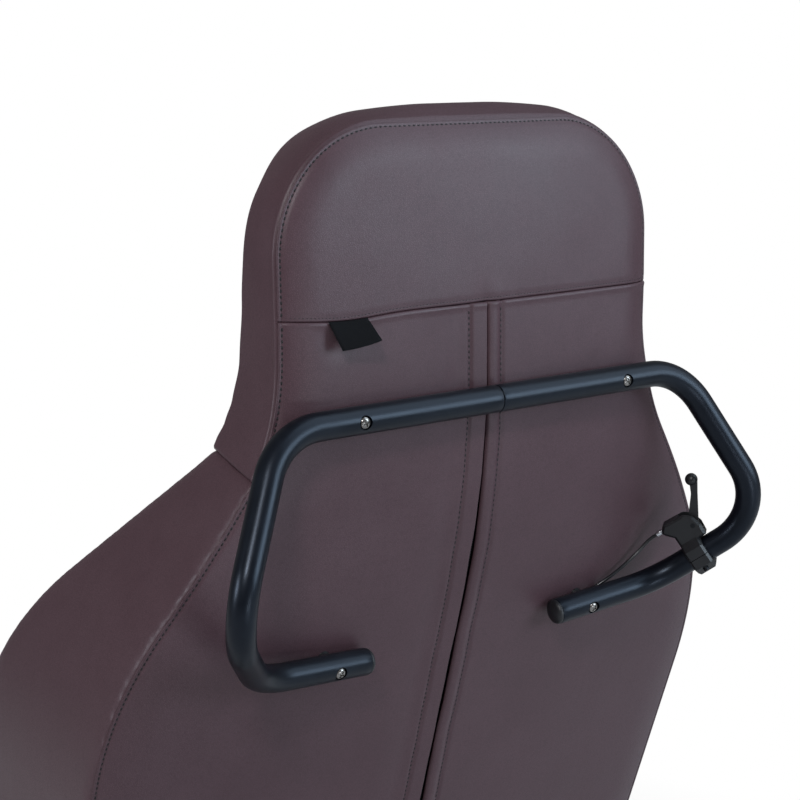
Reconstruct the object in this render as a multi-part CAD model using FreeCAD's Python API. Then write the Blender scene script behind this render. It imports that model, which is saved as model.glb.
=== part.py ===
import FreeCAD, Part
import math
import os

os.makedirs("parts", exist_ok=True)

# Tilt-in-space shell chair, millimetres, +Z up, the occupant faces -Y.
# Y is measured from the axis of the push bar while the pieces are made,
# and every piece is moved to the middle of the footprint when it is written.

# Outline of the back, seen from behind
head_top = 1235.0
head_half = 211.0
head_corner = 110.0
shoulder_z = 1045.0
shoulder_turn = 33.0
shoulder_hollow = 220.0
shoulder_round = 304.0
hip_turn = 5.0
shell_half = 360.0
shell_bottom = 350.0

# Rear face of the back, seen from the side
back_face = -13.5
waist_z = 1005.0
bar_z = waist_z - 15.0
head_lean = 2300.0
waist_bend = 750.0
recline = 15.7
crown_radius = 4000.0
head_seam_z = 1076.0
cover = 5.0
cover_to_board = 40.0
board = 12.0
soft_gap = 0.3

# Wings, arms and the border round the head
border = 6.0
border_depth = 66.0
seam_rear = (-37.0, 942.0)
seam_front = (-110.0, 957.0)
wing_knee = (-292.0, 780.0)
wing_foot_y = -353.0
arm_top = 650.0
arm_front = -650.0
arm_thick = 80.0
wing_inner_z = 690.0
wing_tip = 34.0
arm_panel = 15.0
arm_panel_out = 40.0
arm_edge = 15.0

# Back cushion, its build-up in front of the rear face by share of its height
cushion_build = [(0.0, 104.0), (0.116, 131.0), (0.264, 140.0), (0.446, 131.0), (0.605, 116.0), (0.765, 88.0),
                 (0.89, 80.0), (1.0, 76.0)]
front_crown = 16.0

# Seat, drawn level and then raked about its rear top edge
seat_rake = 6.0
seat_back_y = -272.0
seat_top = 455.0
seat_depth = 468.0
seat_pad = 90.0
seat_crown = 16.0
seat_board_thick = 15.0
seat_board_inset = 15.0
seat_board_step = 70.0
seat_board_corner = 30.0
rail = 30.0
rail_wall = 2.0
rail_x = 205.0
seat_rail_back = -232.0
seat_rail_front = -700.0

# Tilt pivot
tilt_y = -400.0
tilt_z = 318.0
tilt_pin_r = 8.0
run_fit = 0.05
lug = 6.0
lug_r = 24.0

# Push handle, corner points of the left half from the bar's middle and the bend radii there
tube_r = 12.5
tube_wall = 2.0
grip_corners = [(232.0, 0.0, 0.0), (310.0, 53.0, -144.0), (237.0, -30.0, -222.0), (116.0, -42.0, -234.0)]
grip_bends = [65.0, 58.0, 70.0]
grip_split = 0.25
screw_x = 152.0
screw_r = 3.0
screw_head_r = 4.8
screw_head = 3.4

# Release lever on the right half
clamp_along = 0.6
clamp_length = 21.0
clamp_wall = 5.5
lever_pin_r = 2.5
lever_up = 29.0
lever_set_back = 12.0
lever_lean = 35.0
lever_length = 45.0
lever_half = 3.2
lever_ball_r = 6.3
clamp_chamfer = 2.4
nose_up = 38.0
nose_out = 8.5
ferrule_length = 6.0
cable_r = 1.8

# Gas spring
gas_low = (-525.0, 208.0)
gas_high = (-230.0, 280.0)
gas_r = 14.0
gas_rod_r = 5.0
gas_pin_r = 5.0
gas_play = 1.6
gas_body = 188.0

# Base
base_x = 255.0
base_tube = 40.0
base_wall = 2.5
base_top = 205.0
base_front = -655.0
base_back = -65.0
cross_front = -555.0
cross_rear = -130.0
bracket = 8.0

# Castors
wheel_r = 62.5
wheel_half = 16.0
tyre = 11.0
castor_trail = 38.0
castor_front = -620.0
castor_rear = -100.0
fork_plate = 4.0
axle_r = 4.0
stem_r = 6.0

# Leg rest
leg_angle = 12.0
leg_length = 310.0
leg_bar = 6.0
leg_bar_wide = 30.0
leg_pad_half = 178.0
leg_pad = 48.0
leg_pad_drop = 70.0
leg_pin_r = 5.0
leg_cross = 10.0
leg_clear = 12.0
foot_depth = 150.0
foot_plate = 8.0
foot_half = 165.0

V = FreeCAD.Vector
AXIS = {"X": V(1, 0, 0), "Y": V(0, 1, 0), "Z": V(0, 0, 1)}
nodes = {}


def spot(plane, u, v, w):
    if plane == "X":
        return V(w, u, v)
    if plane == "Y":
        return V(u, w, v)
    return V(u, v, w)


def corner_arc(before, at, after, radius):
    a = (before - at).normalize()
    b = (after - at).normalize()
    half = a.getAngle(b) / 2
    reach = radius / math.tan(half)
    middle = at + (a + b).normalize() * (radius / math.sin(half) - radius)
    return at + a * reach, middle, at + b * reach


def path_edges(points, radii, closed):
    count = len(points)
    edges = []
    last = None
    first = None
    for i, at in enumerate(points):
        radius = radii[i]
        if radius > 0:
            start, middle, end = corner_arc(points[i - 1], at, points[(i + 1) % count], radius)
        else:
            start, middle, end = at, None, at
        if last is not None and last.distanceToPoint(start) > 1e-6:
            edges.append(Part.LineSegment(last, start).toShape())
        if middle is not None:
            edges.append(Part.Arc(start, middle, end).toShape())
        if first is None:
            first = start
        last = end
    if closed and last.distanceToPoint(first) > 1e-6:
        edges.append(Part.LineSegment(last, first).toShape())
    return edges


def outline(plane, w, corners):
    points = [spot(plane, c[0], c[1], w) for c in corners]
    radii = [c[2] if len(c) > 2 else 0 for c in corners]
    return Part.Wire(path_edges(points, radii, True))


def slab(plane, w0, w1, corners):
    return Part.Face(outline(plane, w0, corners)).extrude(AXIS[plane] * (w1 - w0))


def block(x0, x1, y0, y1, z0, z1):
    return Part.makeBox(x1 - x0, y1 - y0, z1 - z0, V(x0, y0, z0))


def rod(start, end, radius):
    return Part.makeCylinder(radius, start.distanceToPoint(end), start, end - start)


def sweep(points, radii, radius):
    path = Part.Wire(path_edges(points, radii, False))
    ring = Part.Wire(Part.makeCircle(radius, points[0], points[1] - points[0]))
    return path.makePipeShell([ring], True, False)


def mirrored(shape):
    return shape.mirror(V(0, 0, 0), V(1, 0, 0))


def turned(shape, y, z, degrees):
    copy = shape.copy()
    copy.rotate(V(0, y, z), V(1, 0, 0), degrees)
    return copy


def hollow_tube(x0, x1, y0, y1, z0, z1, wall, along):
    outer = block(x0, x1, y0, y1, z0, z1)
    edges = [e for e in outer.Edges if abs((e.Vertexes[1].Point - e.Vertexes[0].Point).dot(AXIS[along])) > 1]
    outer = outer.makeFillet(2 * wall, edges)
    trim = {"X": (0, wall, wall), "Y": (wall, 0, wall), "Z": (wall, wall, 0)}[along]
    inner = block(x0 + trim[0], x1 - trim[0], y0 + trim[1], y1 - trim[1], z0 + trim[2], z1 - trim[2])
    edges = [e for e in inner.Edges if abs((e.Vertexes[1].Point - e.Vertexes[0].Point).dot(AXIS[along])) > 1]
    return outer.cut(inner.makeFillet(wall, edges))


def keep(name, *shapes):
    nodes[name] = list(shapes)


# Curves of the back, each moved forward by shift square to itself
tilt_back = math.radians(recline)


def back_y(z, shift=0.0):
    if z >= waist_z:
        return back_face - head_lean + math.sqrt((head_lean - shift) ** 2 - (z - waist_z) ** 2)
    bend = waist_bend - shift
    knee = waist_z - bend * math.sin(tilt_back)
    low = max(z, knee)
    y = back_face - waist_bend + math.sqrt(bend ** 2 - (low - waist_z) ** 2)
    return y - max(0.0, knee - z) * math.tan(tilt_back)


def crown(x):
    return crown_radius - math.sqrt(crown_radius ** 2 - x * x)


def ahead_of(shift, low, high, front):
    # everything in front of the back's centre line
    knee = waist_z - (waist_bend - shift) * math.sin(tilt_back)

    def at(z):
        return V(-shell_half - 50, back_y(z, shift), z)

    bottom = V(-shell_half - 50, front, low)
    top = V(-shell_half - 50, front, high)
    edges = [
        Part.LineSegment(bottom, at(low)).toShape(),
        Part.LineSegment(at(low), at(knee)).toShape(),
        Part.Arc(at(knee), at((knee + waist_z) / 2), at(waist_z)).toShape(),
        Part.Arc(at(waist_z), at((waist_z + high) / 2), at(high)).toShape(),
        Part.LineSegment(at(high), top).toShape(),
        Part.LineSegment(top, bottom).toShape(),
    ]
    return Part.Face(Part.Wire(edges)).extrude(V(2 * shell_half + 100, 0, 0))


def crowned(shift):
    # everything in front of the crowned rear face: its section is swept up the head, round the waist and down
    wide = shell_half + 45
    round_r = crown_radius - shift
    edge_y = back_face - crown_radius + math.sqrt(round_r ** 2 - wide ** 2)
    front = back_face - waist_bend + 60
    left = V(-wide, edge_y, waist_z)
    right_end = V(wide, edge_y, waist_z)
    section = Part.Face(Part.Wire([
        Part.Arc(left, V(0, back_face - shift, waist_z), right_end).toShape(),
        Part.LineSegment(right_end, V(wide, front, waist_z)).toShape(),
        Part.LineSegment(V(wide, front, waist_z), V(-wide, front, waist_z)).toShape(),
        Part.LineSegment(V(-wide, front, waist_z), left).toShape(),
    ]))
    rise = math.degrees(math.asin((head_top + 50 - waist_z) / head_lean))
    head = section.revolve(V(0, back_face - head_lean, waist_z), V(1, 0, 0), rise)
    waist_axis = V(0, back_face - waist_bend, waist_z)
    waist = section.revolve(waist_axis, V(1, 0, 0), -recline)
    section.rotate(waist_axis, V(1, 0, 0), -recline)
    run = waist_z - shell_bottom + 60
    lower = section.extrude(V(0, -math.sin(tilt_back), -math.cos(tilt_back)) * run)
    return lower.fuse(waist).fuse(head).removeSplitter()


def shoulder_points(inset):
    # hollow arc below the head, then the swelling arc that passes the full width and turns in at the hip
    turn = math.radians(shoulder_turn)
    bends = (shoulder_hollow + shoulder_round) * (1 - math.cos(turn))
    straight = (shell_half - head_half - bends) / math.sin(turn)
    fall = (shoulder_hollow + shoulder_round) * math.sin(turn) + straight * math.cos(turn)
    hollow = V(head_half + shoulder_hollow, 0, shoulder_z)
    swell = V(shell_half - shoulder_round, 0, shoulder_z - fall)
    r1 = shoulder_hollow + inset
    r2 = shoulder_round - inset
    first = [V(hollow.x - r1 * math.cos(a), 0, hollow.z - r1 * math.sin(a)) for a in (0, turn / 2, turn)]
    hip = -math.radians(hip_turn)
    middle = (turn + hip) / 2
    second = [V(swell.x + r2 * math.cos(a), 0, swell.z + r2 * math.sin(a)) for a in (turn, middle, hip)]
    return first, second


def shell_face(inset, bottom):
    first, second = shoulder_points(inset)
    foot_x = second[2].x - (second[2].z - bottom) * math.tan(math.radians(hip_turn))
    side = head_half - inset
    top = head_top - inset
    r = head_corner - inset
    c = V(head_half - head_corner, 0, head_top - head_corner)
    bend = math.sqrt(0.5) * r
    edges = []
    for s in (1, -1):
        def m(p):
            return V(s * p.x, 0, p.z)

        corner = [V(c.x, 0, top), V(c.x + bend, 0, c.z + bend), V(side, 0, c.z)]
        edges.append(Part.Arc(*[m(p) for p in corner]).toShape())
        edges.append(Part.LineSegment(m(corner[2]), m(first[0])).toShape())
        edges.append(Part.Arc(*[m(p) for p in first]).toShape())
        edges.append(Part.LineSegment(m(first[2]), m(second[0])).toShape())
        edges.append(Part.Arc(*[m(p) for p in second]).toShape())
        edges.append(Part.LineSegment(m(second[2]), m(V(foot_x, 0, bottom))).toShape())
    edges.append(Part.LineSegment(V(-c.x, 0, top), V(c.x, 0, top)).toShape())
    edges.append(Part.LineSegment(V(-foot_x, 0, bottom), V(foot_x, 0, bottom)).toShape())
    return Part.Face(Part.Wire(Part.__sortEdges__(edges)))


def through_y(face, front, back):
    copy = face.copy()
    copy.translate(V(0, front, 0))
    return copy.extrude(V(0, back - front, 0))


# Room inside the shell
def core_face(gap, bottom, tip):
    hollow = V(head_half + shoulder_hollow, 0, shoulder_z)
    inset = border + gap
    r1 = shoulder_hollow + inset
    ledge = seam_front[1] + 1
    drop = math.asin((shoulder_z - ledge) / r1)
    bend = [V(hollow.x - r1 * math.cos(a), 0, hollow.z - r1 * math.sin(a)) for a in (0, drop / 2, drop)]
    x = shell_half - arm_thick - gap
    side = head_half - inset
    r = head_corner - inset
    c = V(head_half - head_corner, 0, head_top - head_corner)
    edges = []
    for s in (1, -1):
        run = [V(c.x, 0, c.z + r), V(c.x + r * math.sqrt(0.5), 0, c.z + r * math.sqrt(0.5)), V(side, 0, c.z)]
        run += bend
        run = [V(s * p.x, 0, p.z) for p in run]
        edges.append(Part.Arc(run[0], run[1], run[2]).toShape())
        edges.append(Part.LineSegment(run[2], run[3]).toShape())
        edges.append(Part.Arc(run[3], run[4], run[5]).toShape())
        root = [run[5], V(s * (bend[2].x - tip + border), 0, ledge), V(s * x, 0, wing_inner_z)]
        root.append(V(s * x, 0, bottom))
        if tip == border:
            root = root[1:]
        edges += path_edges(root, [0] * (len(root) - 2) + [240, 0], False)
    edges.append(Part.LineSegment(V(-c.x, 0, c.z + r), V(c.x, 0, c.z + r)).toShape())
    edges.append(Part.LineSegment(V(-x, 0, bottom), V(x, 0, bottom)).toShape())
    return Part.Face(Part.Wire(Part.__sortEdges__(edges)))


def seam_z(y):
    slope = (seam_front[1] - seam_rear[1]) / (seam_front[0] - seam_rear[0])
    return seam_rear[1] + slope * (y - seam_rear[0])


def seat_point(y, z):
    a = math.radians(-seat_rake)
    dy = y - seat_back_y
    dz = z - seat_top
    return seat_back_y + dy * math.cos(a) - dz * math.sin(a), seat_top + dy * math.sin(a) + dz * math.cos(a)


def raked(shape):
    return turned(shape, seat_back_y, seat_top, -seat_rake)


def pad(half, y0, y1, z0, z1, swell, roll):
    # crowned pad with bulging sides, made lying flat along Y, its ends rolled over
    wires = []
    length = y1 - y0
    stations = [(0, 0.62), (roll, 0.9), (0.5 * length, 1.0), (length - roll, 0.9), (length, 0.62)]
    for along, full in stations:
        y = y0 + along
        high = z0 + (z1 - z0) * (0.55 + 0.45 * full) - swell
        wide = half - 7 * (1 - full) / 0.38
        foot = wide - 14
        lip = wide - 12
        middle = (z0 + high) / 2
        top = high + swell * full
        wires.append(Part.Wire([
            Part.LineSegment(V(-foot, y, z0), V(foot, y, z0)).toShape(),
            Part.Arc(V(foot, y, z0), V(wide, y, middle), V(lip, y, high)).toShape(),
            Part.Arc(V(lip, y, high), V(0, y, top), V(-lip, y, high)).toShape(),
            Part.Arc(V(-lip, y, high), V(-wide, y, middle), V(-foot, y, z0)).toShape(),
        ]))
    return Part.makeLoft(wires, True, False)


beyond = 60.0
y_front = arm_front - 3 * beyond
y_back = beyond
shell_prism = through_y(shell_face(0, shell_bottom), y_front, y_back)
core_bottom = shell_bottom + 2
zip_gap = 5.0
zip_tape = 14.0
room = crowned(cover + soft_gap)
skin = crowned(0).cut(crowned(cover)).common(shell_prism)
far = shell_half + beyond

# Handle route and its fixings
corners = [V(x, y, bar_z + z) for x, y, z in grip_corners]
axis_top = V(0, 1, 0)
axis_low = V(0, math.cos(tilt_back), -math.sin(tilt_back))


def flip(p):
    return V(-p.x, p.y, p.z)


def low_axis_point(x):
    share = (corners[2].x - x) / (corners[2].x - corners[3].x)
    return corners[2] + (corners[3] - corners[2]) * share


fixings = []
for s in (1, -1):
    for centre, axis in ((V(screw_x, 0, bar_z), axis_top), (low_axis_point(screw_x), axis_low)):
        centre = V(s * centre.x, centre.y, centre.z)
        reach = (centre.y - back_y(centre.z, cover_to_board)) * axis.y
        fixings.append((centre, axis, reach))
spacer_r = 6.8
neck_r = 5.2
head_seat = tube_r - 2.7
spacers = []
screws = []
nuts = []
board_holes = []
cover_holes = []
tube_holes = []
for centre, axis, reach in fixings:
    seat = centre - axis * reach
    front = seat - axis * board
    collar = rod(seat, centre - axis * (tube_r - 4), spacer_r)
    neck = rod(seat, centre + axis * head_seat, neck_r)
    bore = rod(front, centre + axis * tube_r, screw_r)
    spacers.append((collar, neck, bore))
    head = rod(centre + axis * head_seat, centre + axis * (head_seat + screw_head), screw_head_r)
    shank = rod(front, centre + axis * head_seat, screw_r)
    screws.append(shank.fuse(head).removeSplitter())
    nut = rod(front, seat, 4.5).fuse(rod(front, front + axis * 1.6, 9.0)).cut(rod(front, seat, screw_r))
    nuts.append(nut)
    board_holes.append(rod(front, seat, 4.5).fuse(rod(front, front + axis * 1.6, 9.0)))
    cover_holes.append(rod(seat, centre, spacer_r + 0.2))
    tube_holes.append(rod(centre - axis * (tube_r + 1), centre, neck_r).fuse(
        rod(centre, centre + axis * (tube_r + 1), screw_head_r + 0.8)))

spigot_half = 45.0
halves = {}
solid_halves = {}
for side, s in (("left", 1), ("right", -1)):
    route = [V(grip_split, 0, bar_z)] + corners
    route = [V(s * p.x, p.y, p.z) for p in route]
    bends = [0] + grip_bends + [0]
    outer = sweep(route, bends, tube_r)
    inner = sweep(route, bends, tube_r - tube_wall)
    solid_halves[side] = outer
    tube = outer.cut(inner)
    for hole in tube_holes:
        tube = tube.cut(hole)
    halves[side] = tube
keep("push_handle_left", halves["left"])
keep("push_handle_right", halves["right"])
bore_r = tube_r - tube_wall
spigot = rod(V(-spigot_half, 0, bar_z), V(spigot_half, 0, bar_z), bore_r)
spigot = spigot.cut(rod(V(-spigot_half, 0, bar_z), V(spigot_half, 0, bar_z), bore_r - 2))
keep("handle_spigot", spigot)

caps = []
for s in (1, -1):
    end = V(s * corners[3].x, corners[3].y, corners[3].z)
    out = end - V(s * corners[2].x, corners[2].y, corners[2].z)
    out.normalize()
    dome = Part.makeSphere(22.0, end - out * 18.3)
    lid = rod(end, end + out * 4, tube_r).common(dome)
    caps.append(lid.fuse(rod(end - out * 14, end, bore_r)).removeSplitter())
keep("handle_end_caps", *caps)
shaped = []
for (collar, neck, bore), (centre, axis, reach) in zip(spacers, fixings):
    side = "left" if centre.x > 0 else "right"
    collar = collar.cut(solid_halves[side]).cut(ahead_of(cover_to_board, core_bottom, head_top, y_front))
    neck = neck.cut(ahead_of(cover_to_board, core_bottom, head_top, y_front))
    shaped.append(collar.fuse(neck).cut(bore).removeSplitter())
keep("handle_spacers", *shaped)
keep("handle_screws", *screws)
keep("tee_nuts", *nuts)

# Release lever clamped on the right half
p2 = flip(corners[1])
p3 = flip(corners[2])
along = (p3 - p2).normalize()
up = (V(0, 0, 1) - along * along.z).normalize()
across = up.cross(along)
home = p2 + (p3 - p2) * clamp_along
frame = FreeCAD.Placement(FreeCAD.Matrix(
    along.x, across.x, up.x, home.x,
    along.y, across.y, up.y, home.y,
    along.z, across.z, up.z, home.z,
    0, 0, 0, 1))


def on_clamp(shape):
    copy = shape.copy()
    copy.Placement = frame.multiply(copy.Placement)
    return copy


def clamp_spot(u, b, n):
    return home + along * u + across * b + up * n


def chamfered(shape, axis, reach):
    # bevels the outline of both end faces, apart from the edges on the split of the clamp
    edges = []
    for face in (reach, -reach):
        for e in shape.Edges:
            ends = [v.Point for v in e.Vertexes]
            on_face = all(abs(p.dot(AXIS[axis]) - face) < 0.001 for p in ends)
            on_split = all(abs(abs(p.z) - split) < 0.001 for p in ends)
            if on_face and not on_split:
                edges.append(e)
    return shape.makeChamfer(clamp_chamfer, edges)


half_l = clamp_length / 2
half_w = tube_r + clamp_wall
bar_hole = rod(V(-4 * half_l, 0, 0), V(4 * half_l, 0, 0), tube_r + 0.02)
ear = 4.0
slot = 6.2
facet = 8.0
split = 0.3
upper = chamfered(slab("X", -half_l, half_l, [
    (-half_w, split), (half_w, split), (half_w, half_w - facet), (half_w - facet, half_w),
    (-half_w + facet, half_w),
    (-half_w, half_w - facet)]), "X", half_l)
nose_end = half_l + nose_out
boss_low = half_w - 4
boss = chamfered(slab("Y", -slot - ear, slot + ear, [
    (-half_l, boss_low), (half_l, boss_low), (half_l, nose_up - 11), (nose_end - 2, nose_up - 4),
    (nose_end, nose_up),
    (nose_end - 5, nose_up + 6, 4), (2 - half_l, nose_up + 5, 6), (-half_l - 6, nose_up - 1, 4),
    (-half_l - 9, lever_up - 3, 4), (-half_l - 8, boss_low + 1)]), "Y", slot + ear)
mouth_low = half_w + 1
mouth = block(-4 * half_l, -3, -slot, slot, mouth_low, nose_up + lever_length)
nip = rod(V(-half_l, 0, nose_up), V(nose_end, 0, nose_up), 1.0)
body = upper.fuse(boss).cut(mouth).cut(bar_hole).cut(nip)
clamp_screw_b = tube_r + 2.9
clamp_screw_r = 1.8
screw_sink = 5.0
lower = chamfered(slab("X", -half_l, half_l, [
    (-half_w, -split), (half_w, -split), (half_w, facet - half_w), (half_w - facet, -half_w),
    (facet - half_w, -half_w),
    (-half_w, facet - half_w)]), "X", half_l)
cap = lower.cut(bar_hole)
clamp_screws = []
for b in (-clamp_screw_b, clamp_screw_b):
    seat_u = screw_sink - half_w
    shank = rod(V(0, b, seat_u), V(0, b, half_w - facet - 1), clamp_screw_r)
    well = rod(V(0, b, -half_w - 1), V(0, b, seat_u), clamp_screw_r + 1.2)
    head = rod(V(0, b, seat_u - 2.2), V(0, b, seat_u), clamp_screw_r + 1.0)
    clamp_screws.append(on_clamp(shank.fuse(head).removeSplitter()))
    body = body.cut(shank)
    cap = cap.cut(shank).cut(well)
pin_ends = (V(-lever_set_back, -slot - ear, lever_up), V(-lever_set_back, slot + ear, lever_up))
pin = rod(pin_ends[0], pin_ends[1], lever_pin_r)
body = body.cut(pin)
hub_half = slot - 0.4
hub = rod(V(0, -hub_half, 0), V(0, hub_half, 0), lever_pin_r + 3.6)
waist_at = lever_length - 14
blade = slab("Y", -lever_half, lever_half, [
    (-5.5, 0), (5.5, 0), (lever_half - 0.2, waist_at, 20), (lever_half + 1.6, lever_length - 3),
    (-lever_half + 0.4, lever_length + 1), (-lever_half - 0.2, waist_at, 20)])
ball = Part.makeSphere(lever_ball_r, V(lever_half, 0, lever_length))
lever = hub.fuse(blade).fuse(ball).cut(rod(V(0, -slot, 0), V(0, slot, 0),
    lever_pin_r + run_fit)).removeSplitter()
lever.rotate(V(0, 0, 0), V(0, 1, 0), -lever_lean)
lever.translate(V(-lever_set_back, 0, lever_up))
keep("lever_clamp", on_clamp(body))
keep("lever_clamp_cap", on_clamp(cap))
keep("lever_clamp_screws", *clamp_screws)
keep("lever_pin", on_clamp(pin))
keep("tilt_lever", on_clamp(lever))
ferrule_end = nose_end + ferrule_length
cable_seat = ferrule_end - 4
ferrule = rod(V(nose_end, 0, nose_up), V(ferrule_end, 0, nose_up), cable_r + 0.8)
ferrule = ferrule.cut(rod(V(cable_seat, 0, nose_up), V(ferrule_end, 0, nose_up), cable_r))
keep("cable_ferrule", on_clamp(ferrule))


# Release cable, from the ferrule through the rear cover and down inside the back
def cavity(x, z):
    rear = back_y(z, cover) - crown(x)
    front = back_y(z, cover_to_board)
    return V(x, (rear + front) / 2, z)


def off_panel(x, z, stand):
    return V(x, back_y(z) - crown(x) + stand, z)


def cord_radii(points):
    radii = [0]
    for before, at, after in zip(points, points[1:], points[2:]):
        turn = math.pi - (before - at).getAngle(after - at)
        shorter = min(before.distanceToPoint(at), at.distanceToPoint(after))
        radii.append(0.45 * shorter / math.tan(turn / 2))
    return radii + [0]


grommet_x = -170.5
grommet_z = bar_z - 231.0
cable_points = [
    clamp_spot(cable_seat, 0, nose_up),
    clamp_spot(ferrule_end + 9, 0, nose_up),
    off_panel(-222.0, bar_z - 194.0, 9.0),
    off_panel(-205.0, bar_z - 207.0, 7.5),
    off_panel(-187.0, bar_z - 216.5, 6.5),
    off_panel(-172.0, bar_z - 228.0, 0.0),
    cavity(-164.0, bar_z - 250.0),
    cavity(-150.0, bar_z - 288.0),
    cavity(-128.0, bar_z - 338.0),
    cavity(-108.0, 600.0),
    cavity(-82.0, 551.0),
    cavity(-62.0, 502.0),
    cavity(-40.0, 455.0),
    cavity(-18.0, 408.0),
    cavity(-6.0, 360.0),
    V(-1.0, -206.0, 322.0),
    V(0.0, -222.0, 304.0),
]
cable_radii = cord_radii(cable_points)
cable = sweep(cable_points, cable_radii, cable_r)
keep("tilt_cable", cable)

grommet_at = off_panel(grommet_x, grommet_z, 0)
grommet_hole = 5.6
grommet_r = 7.0
grommet_axis = (axis_low + V(grommet_x / crown_radius, 0, 0)).normalize()
grommet = rod(grommet_at - grommet_axis * (cover + 1), grommet_at + grommet_axis * 1.6, grommet_hole)
flange = rod(grommet_at + grommet_axis * 0.2, grommet_at + grommet_axis * 1.6, grommet_r)
opening = rod(grommet_at - grommet_axis * 20, grommet_at + grommet_axis * 20, grommet_hole - 1.2)
cable_room = sweep(cable_points, cable_radii, cable_r + soft_gap)
keep("cable_grommet", grommet.fuse(flange).cut(opening).cut(cable_room).removeSplitter())
cover_holes.append(rod(grommet_at - grommet_axis * 20, grommet_at + grommet_axis * 20, grommet_hole))
cover_holes.append(cable_room)

clips = []
for i in (8, 10, 12):
    at = cable_points[i]
    run = (cable_points[i + 1] - at).normalize()
    spot_on = at + run * (0.5 * at.distanceToPoint(cable_points[i + 1]))
    sleeve = rod(spot_on - run * 5, spot_on + run * 5, cable_r + 1.8)
    foot = block(-7, 7, -cover_to_board, 0, -5, 5)
    foot.translate(spot_on)
    foot = foot.cut(ahead_of(cover_to_board, core_bottom, head_top, y_front))
    clips.append(sleeve.fuse(foot).cut(rod(spot_on - run * 20, spot_on + run * 20,
        cable_r + run_fit)).removeSplitter())
keep("cable_clips", *clips)

# Rear covers, zip and head border
for hole in cover_holes:
    skin = skin.cut(hole)
edge = 0.15
keep("head_cover", skin.common(block(-far, far, y_front, y_back, head_seam_z + edge, head_top + 10)))
low_skin = skin.common(block(-far, far, y_front, y_back, shell_bottom - 10, head_seam_z - edge))
keep("rear_cover_left", low_skin.common(block(zip_gap / 2, far, y_front, y_back, 0, head_top)))
keep("rear_cover_right", low_skin.common(block(-far, -zip_gap / 2, y_front, y_back, 0, head_top)))
tape = room.cut(crowned(cover + soft_gap + 1.6))
keep("rear_zip", tape.common(block(-zip_tape, zip_tape, y_front, y_back, shell_bottom + 10, head_seam_z - 6)))

border_front = crown(head_half) + border_depth
ring = shell_prism.cut(through_y(core_face(0, shell_bottom - 5, border), y_front, y_back)).common(room)
above = slab("X", -far, far, [(y_back, seam_z(y_back)), (y_back, head_top + beyond),
    (wing_foot_y, head_top + beyond),
                          (wing_foot_y, seam_z(wing_foot_y))])
edge_band = ring.common(above).cut(ahead_of(border_front, shell_bottom - 50, head_top + beyond, y_front))
keep("head_border", edge_band)

# Back board and back cushion
core = through_y(core_face(soft_gap, core_bottom, wing_tip), y_front, y_back)
slice_of = ahead_of(cover_to_board, core_bottom - 20, head_top + beyond, y_front)
slice_of = slice_of.cut(ahead_of(cover_to_board + board, core_bottom - 20, head_top + beyond, y_front))
back_panel = slice_of.common(through_y(core_face(8.0, core_bottom, wing_tip), y_front, y_back))
for hole in board_holes:
    back_panel = back_panel.cut(hole)
keep("back_board", back_panel)

cushion_low = core_bottom + 16
cushion_high = head_top + 12
levels = []
for share, build in cushion_build:
    z = cushion_low + share * (cushion_high - cushion_low)
    y = back_y(z) - build
    w = shell_half - arm_thick / 2
    levels.append(Part.Wire([
        Part.Arc(V(-w, y + front_crown, z), V(0, y, z), V(w, y + front_crown, z)).toShape(),
        Part.LineSegment(V(w, y + front_crown, z), V(w, y_back, z)).toShape(),
        Part.LineSegment(V(w, y_back, z), V(-w, y_back, z)).toShape(),
        Part.LineSegment(V(-w, y_back, z), V(-w, y + front_crown, z)).toShape(),
    ]))
cushion = Part.makeLoft(levels, True, False)
cushion = cushion.common(ahead_of(cover_to_board + board + soft_gap, core_bottom - 20, head_top + beyond,
    y_front))
keep("back_cushion", cushion.common(core))

# Arms with a plywood panel inside
panel_out = shell_half - arm_panel_out
panel_in = panel_out - arm_panel
arm_side = slab("X", -far, far, [
    (y_back, shell_bottom), (y_back, seam_z(y_back) - 2 * soft_gap),
    (seam_front[0], seam_front[1] - 2 * soft_gap),
    (wing_knee[0], wing_knee[1], 390), (wing_foot_y, arm_top, 75), (arm_front, arm_top, 75),
    (arm_front, shell_bottom, 45)])
wings = shell_prism.cut(through_y(core_face(0, shell_bottom - 5, wing_tip), y_front, y_back)).common(room)
wings = wings.common(arm_side)
board_half = panel_in
seat_board_back = seat_back_y + 50
seat_board_low = seat_top - seat_pad - seat_board_thick
seat_board_front = seat_back_y - seat_depth + 30
seat_board_y = arm_front + seat_board_step
seat_tongue = shell_half - arm_thick - seat_board_inset
seat_panel = raked(slab("Z", seat_board_low, seat_board_low + seat_board_thick, [
    (-board_half, seat_board_back), (-board_half, seat_board_y), (-seat_tongue, seat_board_y),
    (-seat_tongue, seat_board_front, seat_board_corner), (seat_tongue, seat_board_front, seat_board_corner),
    (seat_tongue, seat_board_y), (board_half, seat_board_y), (board_half, seat_board_back)]))
seat_slot = raked(block(-board_half, board_half, seat_board_y - soft_gap, seat_board_back + 3,
                        seat_board_low - soft_gap, seat_board_low + seat_board_thick + soft_gap))
panel_corners = [(-210, shell_bottom), (-250, arm_top - 40, 30), (arm_front + 40, arm_top - 40, 40),
                 (arm_front + 40, shell_bottom)]
panels = [slab("X", panel_in, panel_out, panel_corners), slab("X", -panel_out, -panel_in, panel_corners)]
keep("arm_boards", *panels)
arm_pad = wings.common(block(0, far, y_front, y_back, 0, head_top))
rim = []
for e in arm_pad.Edges:
    half_way = (e.FirstParameter + e.LastParameter) / 2
    middle = e.valueAt(half_way)
    on_rear = middle.y > back_y(middle.z) - crown(middle.x) - cover - 2
    on_end = middle.z < shell_bottom + 1 or middle.z > seam_front[1] - 2
    if abs(e.tangentAt(half_way).x) < 0.9 and not on_rear and not on_end and middle.y < seam_front[0] + 1:
        rim.append(e)
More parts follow.
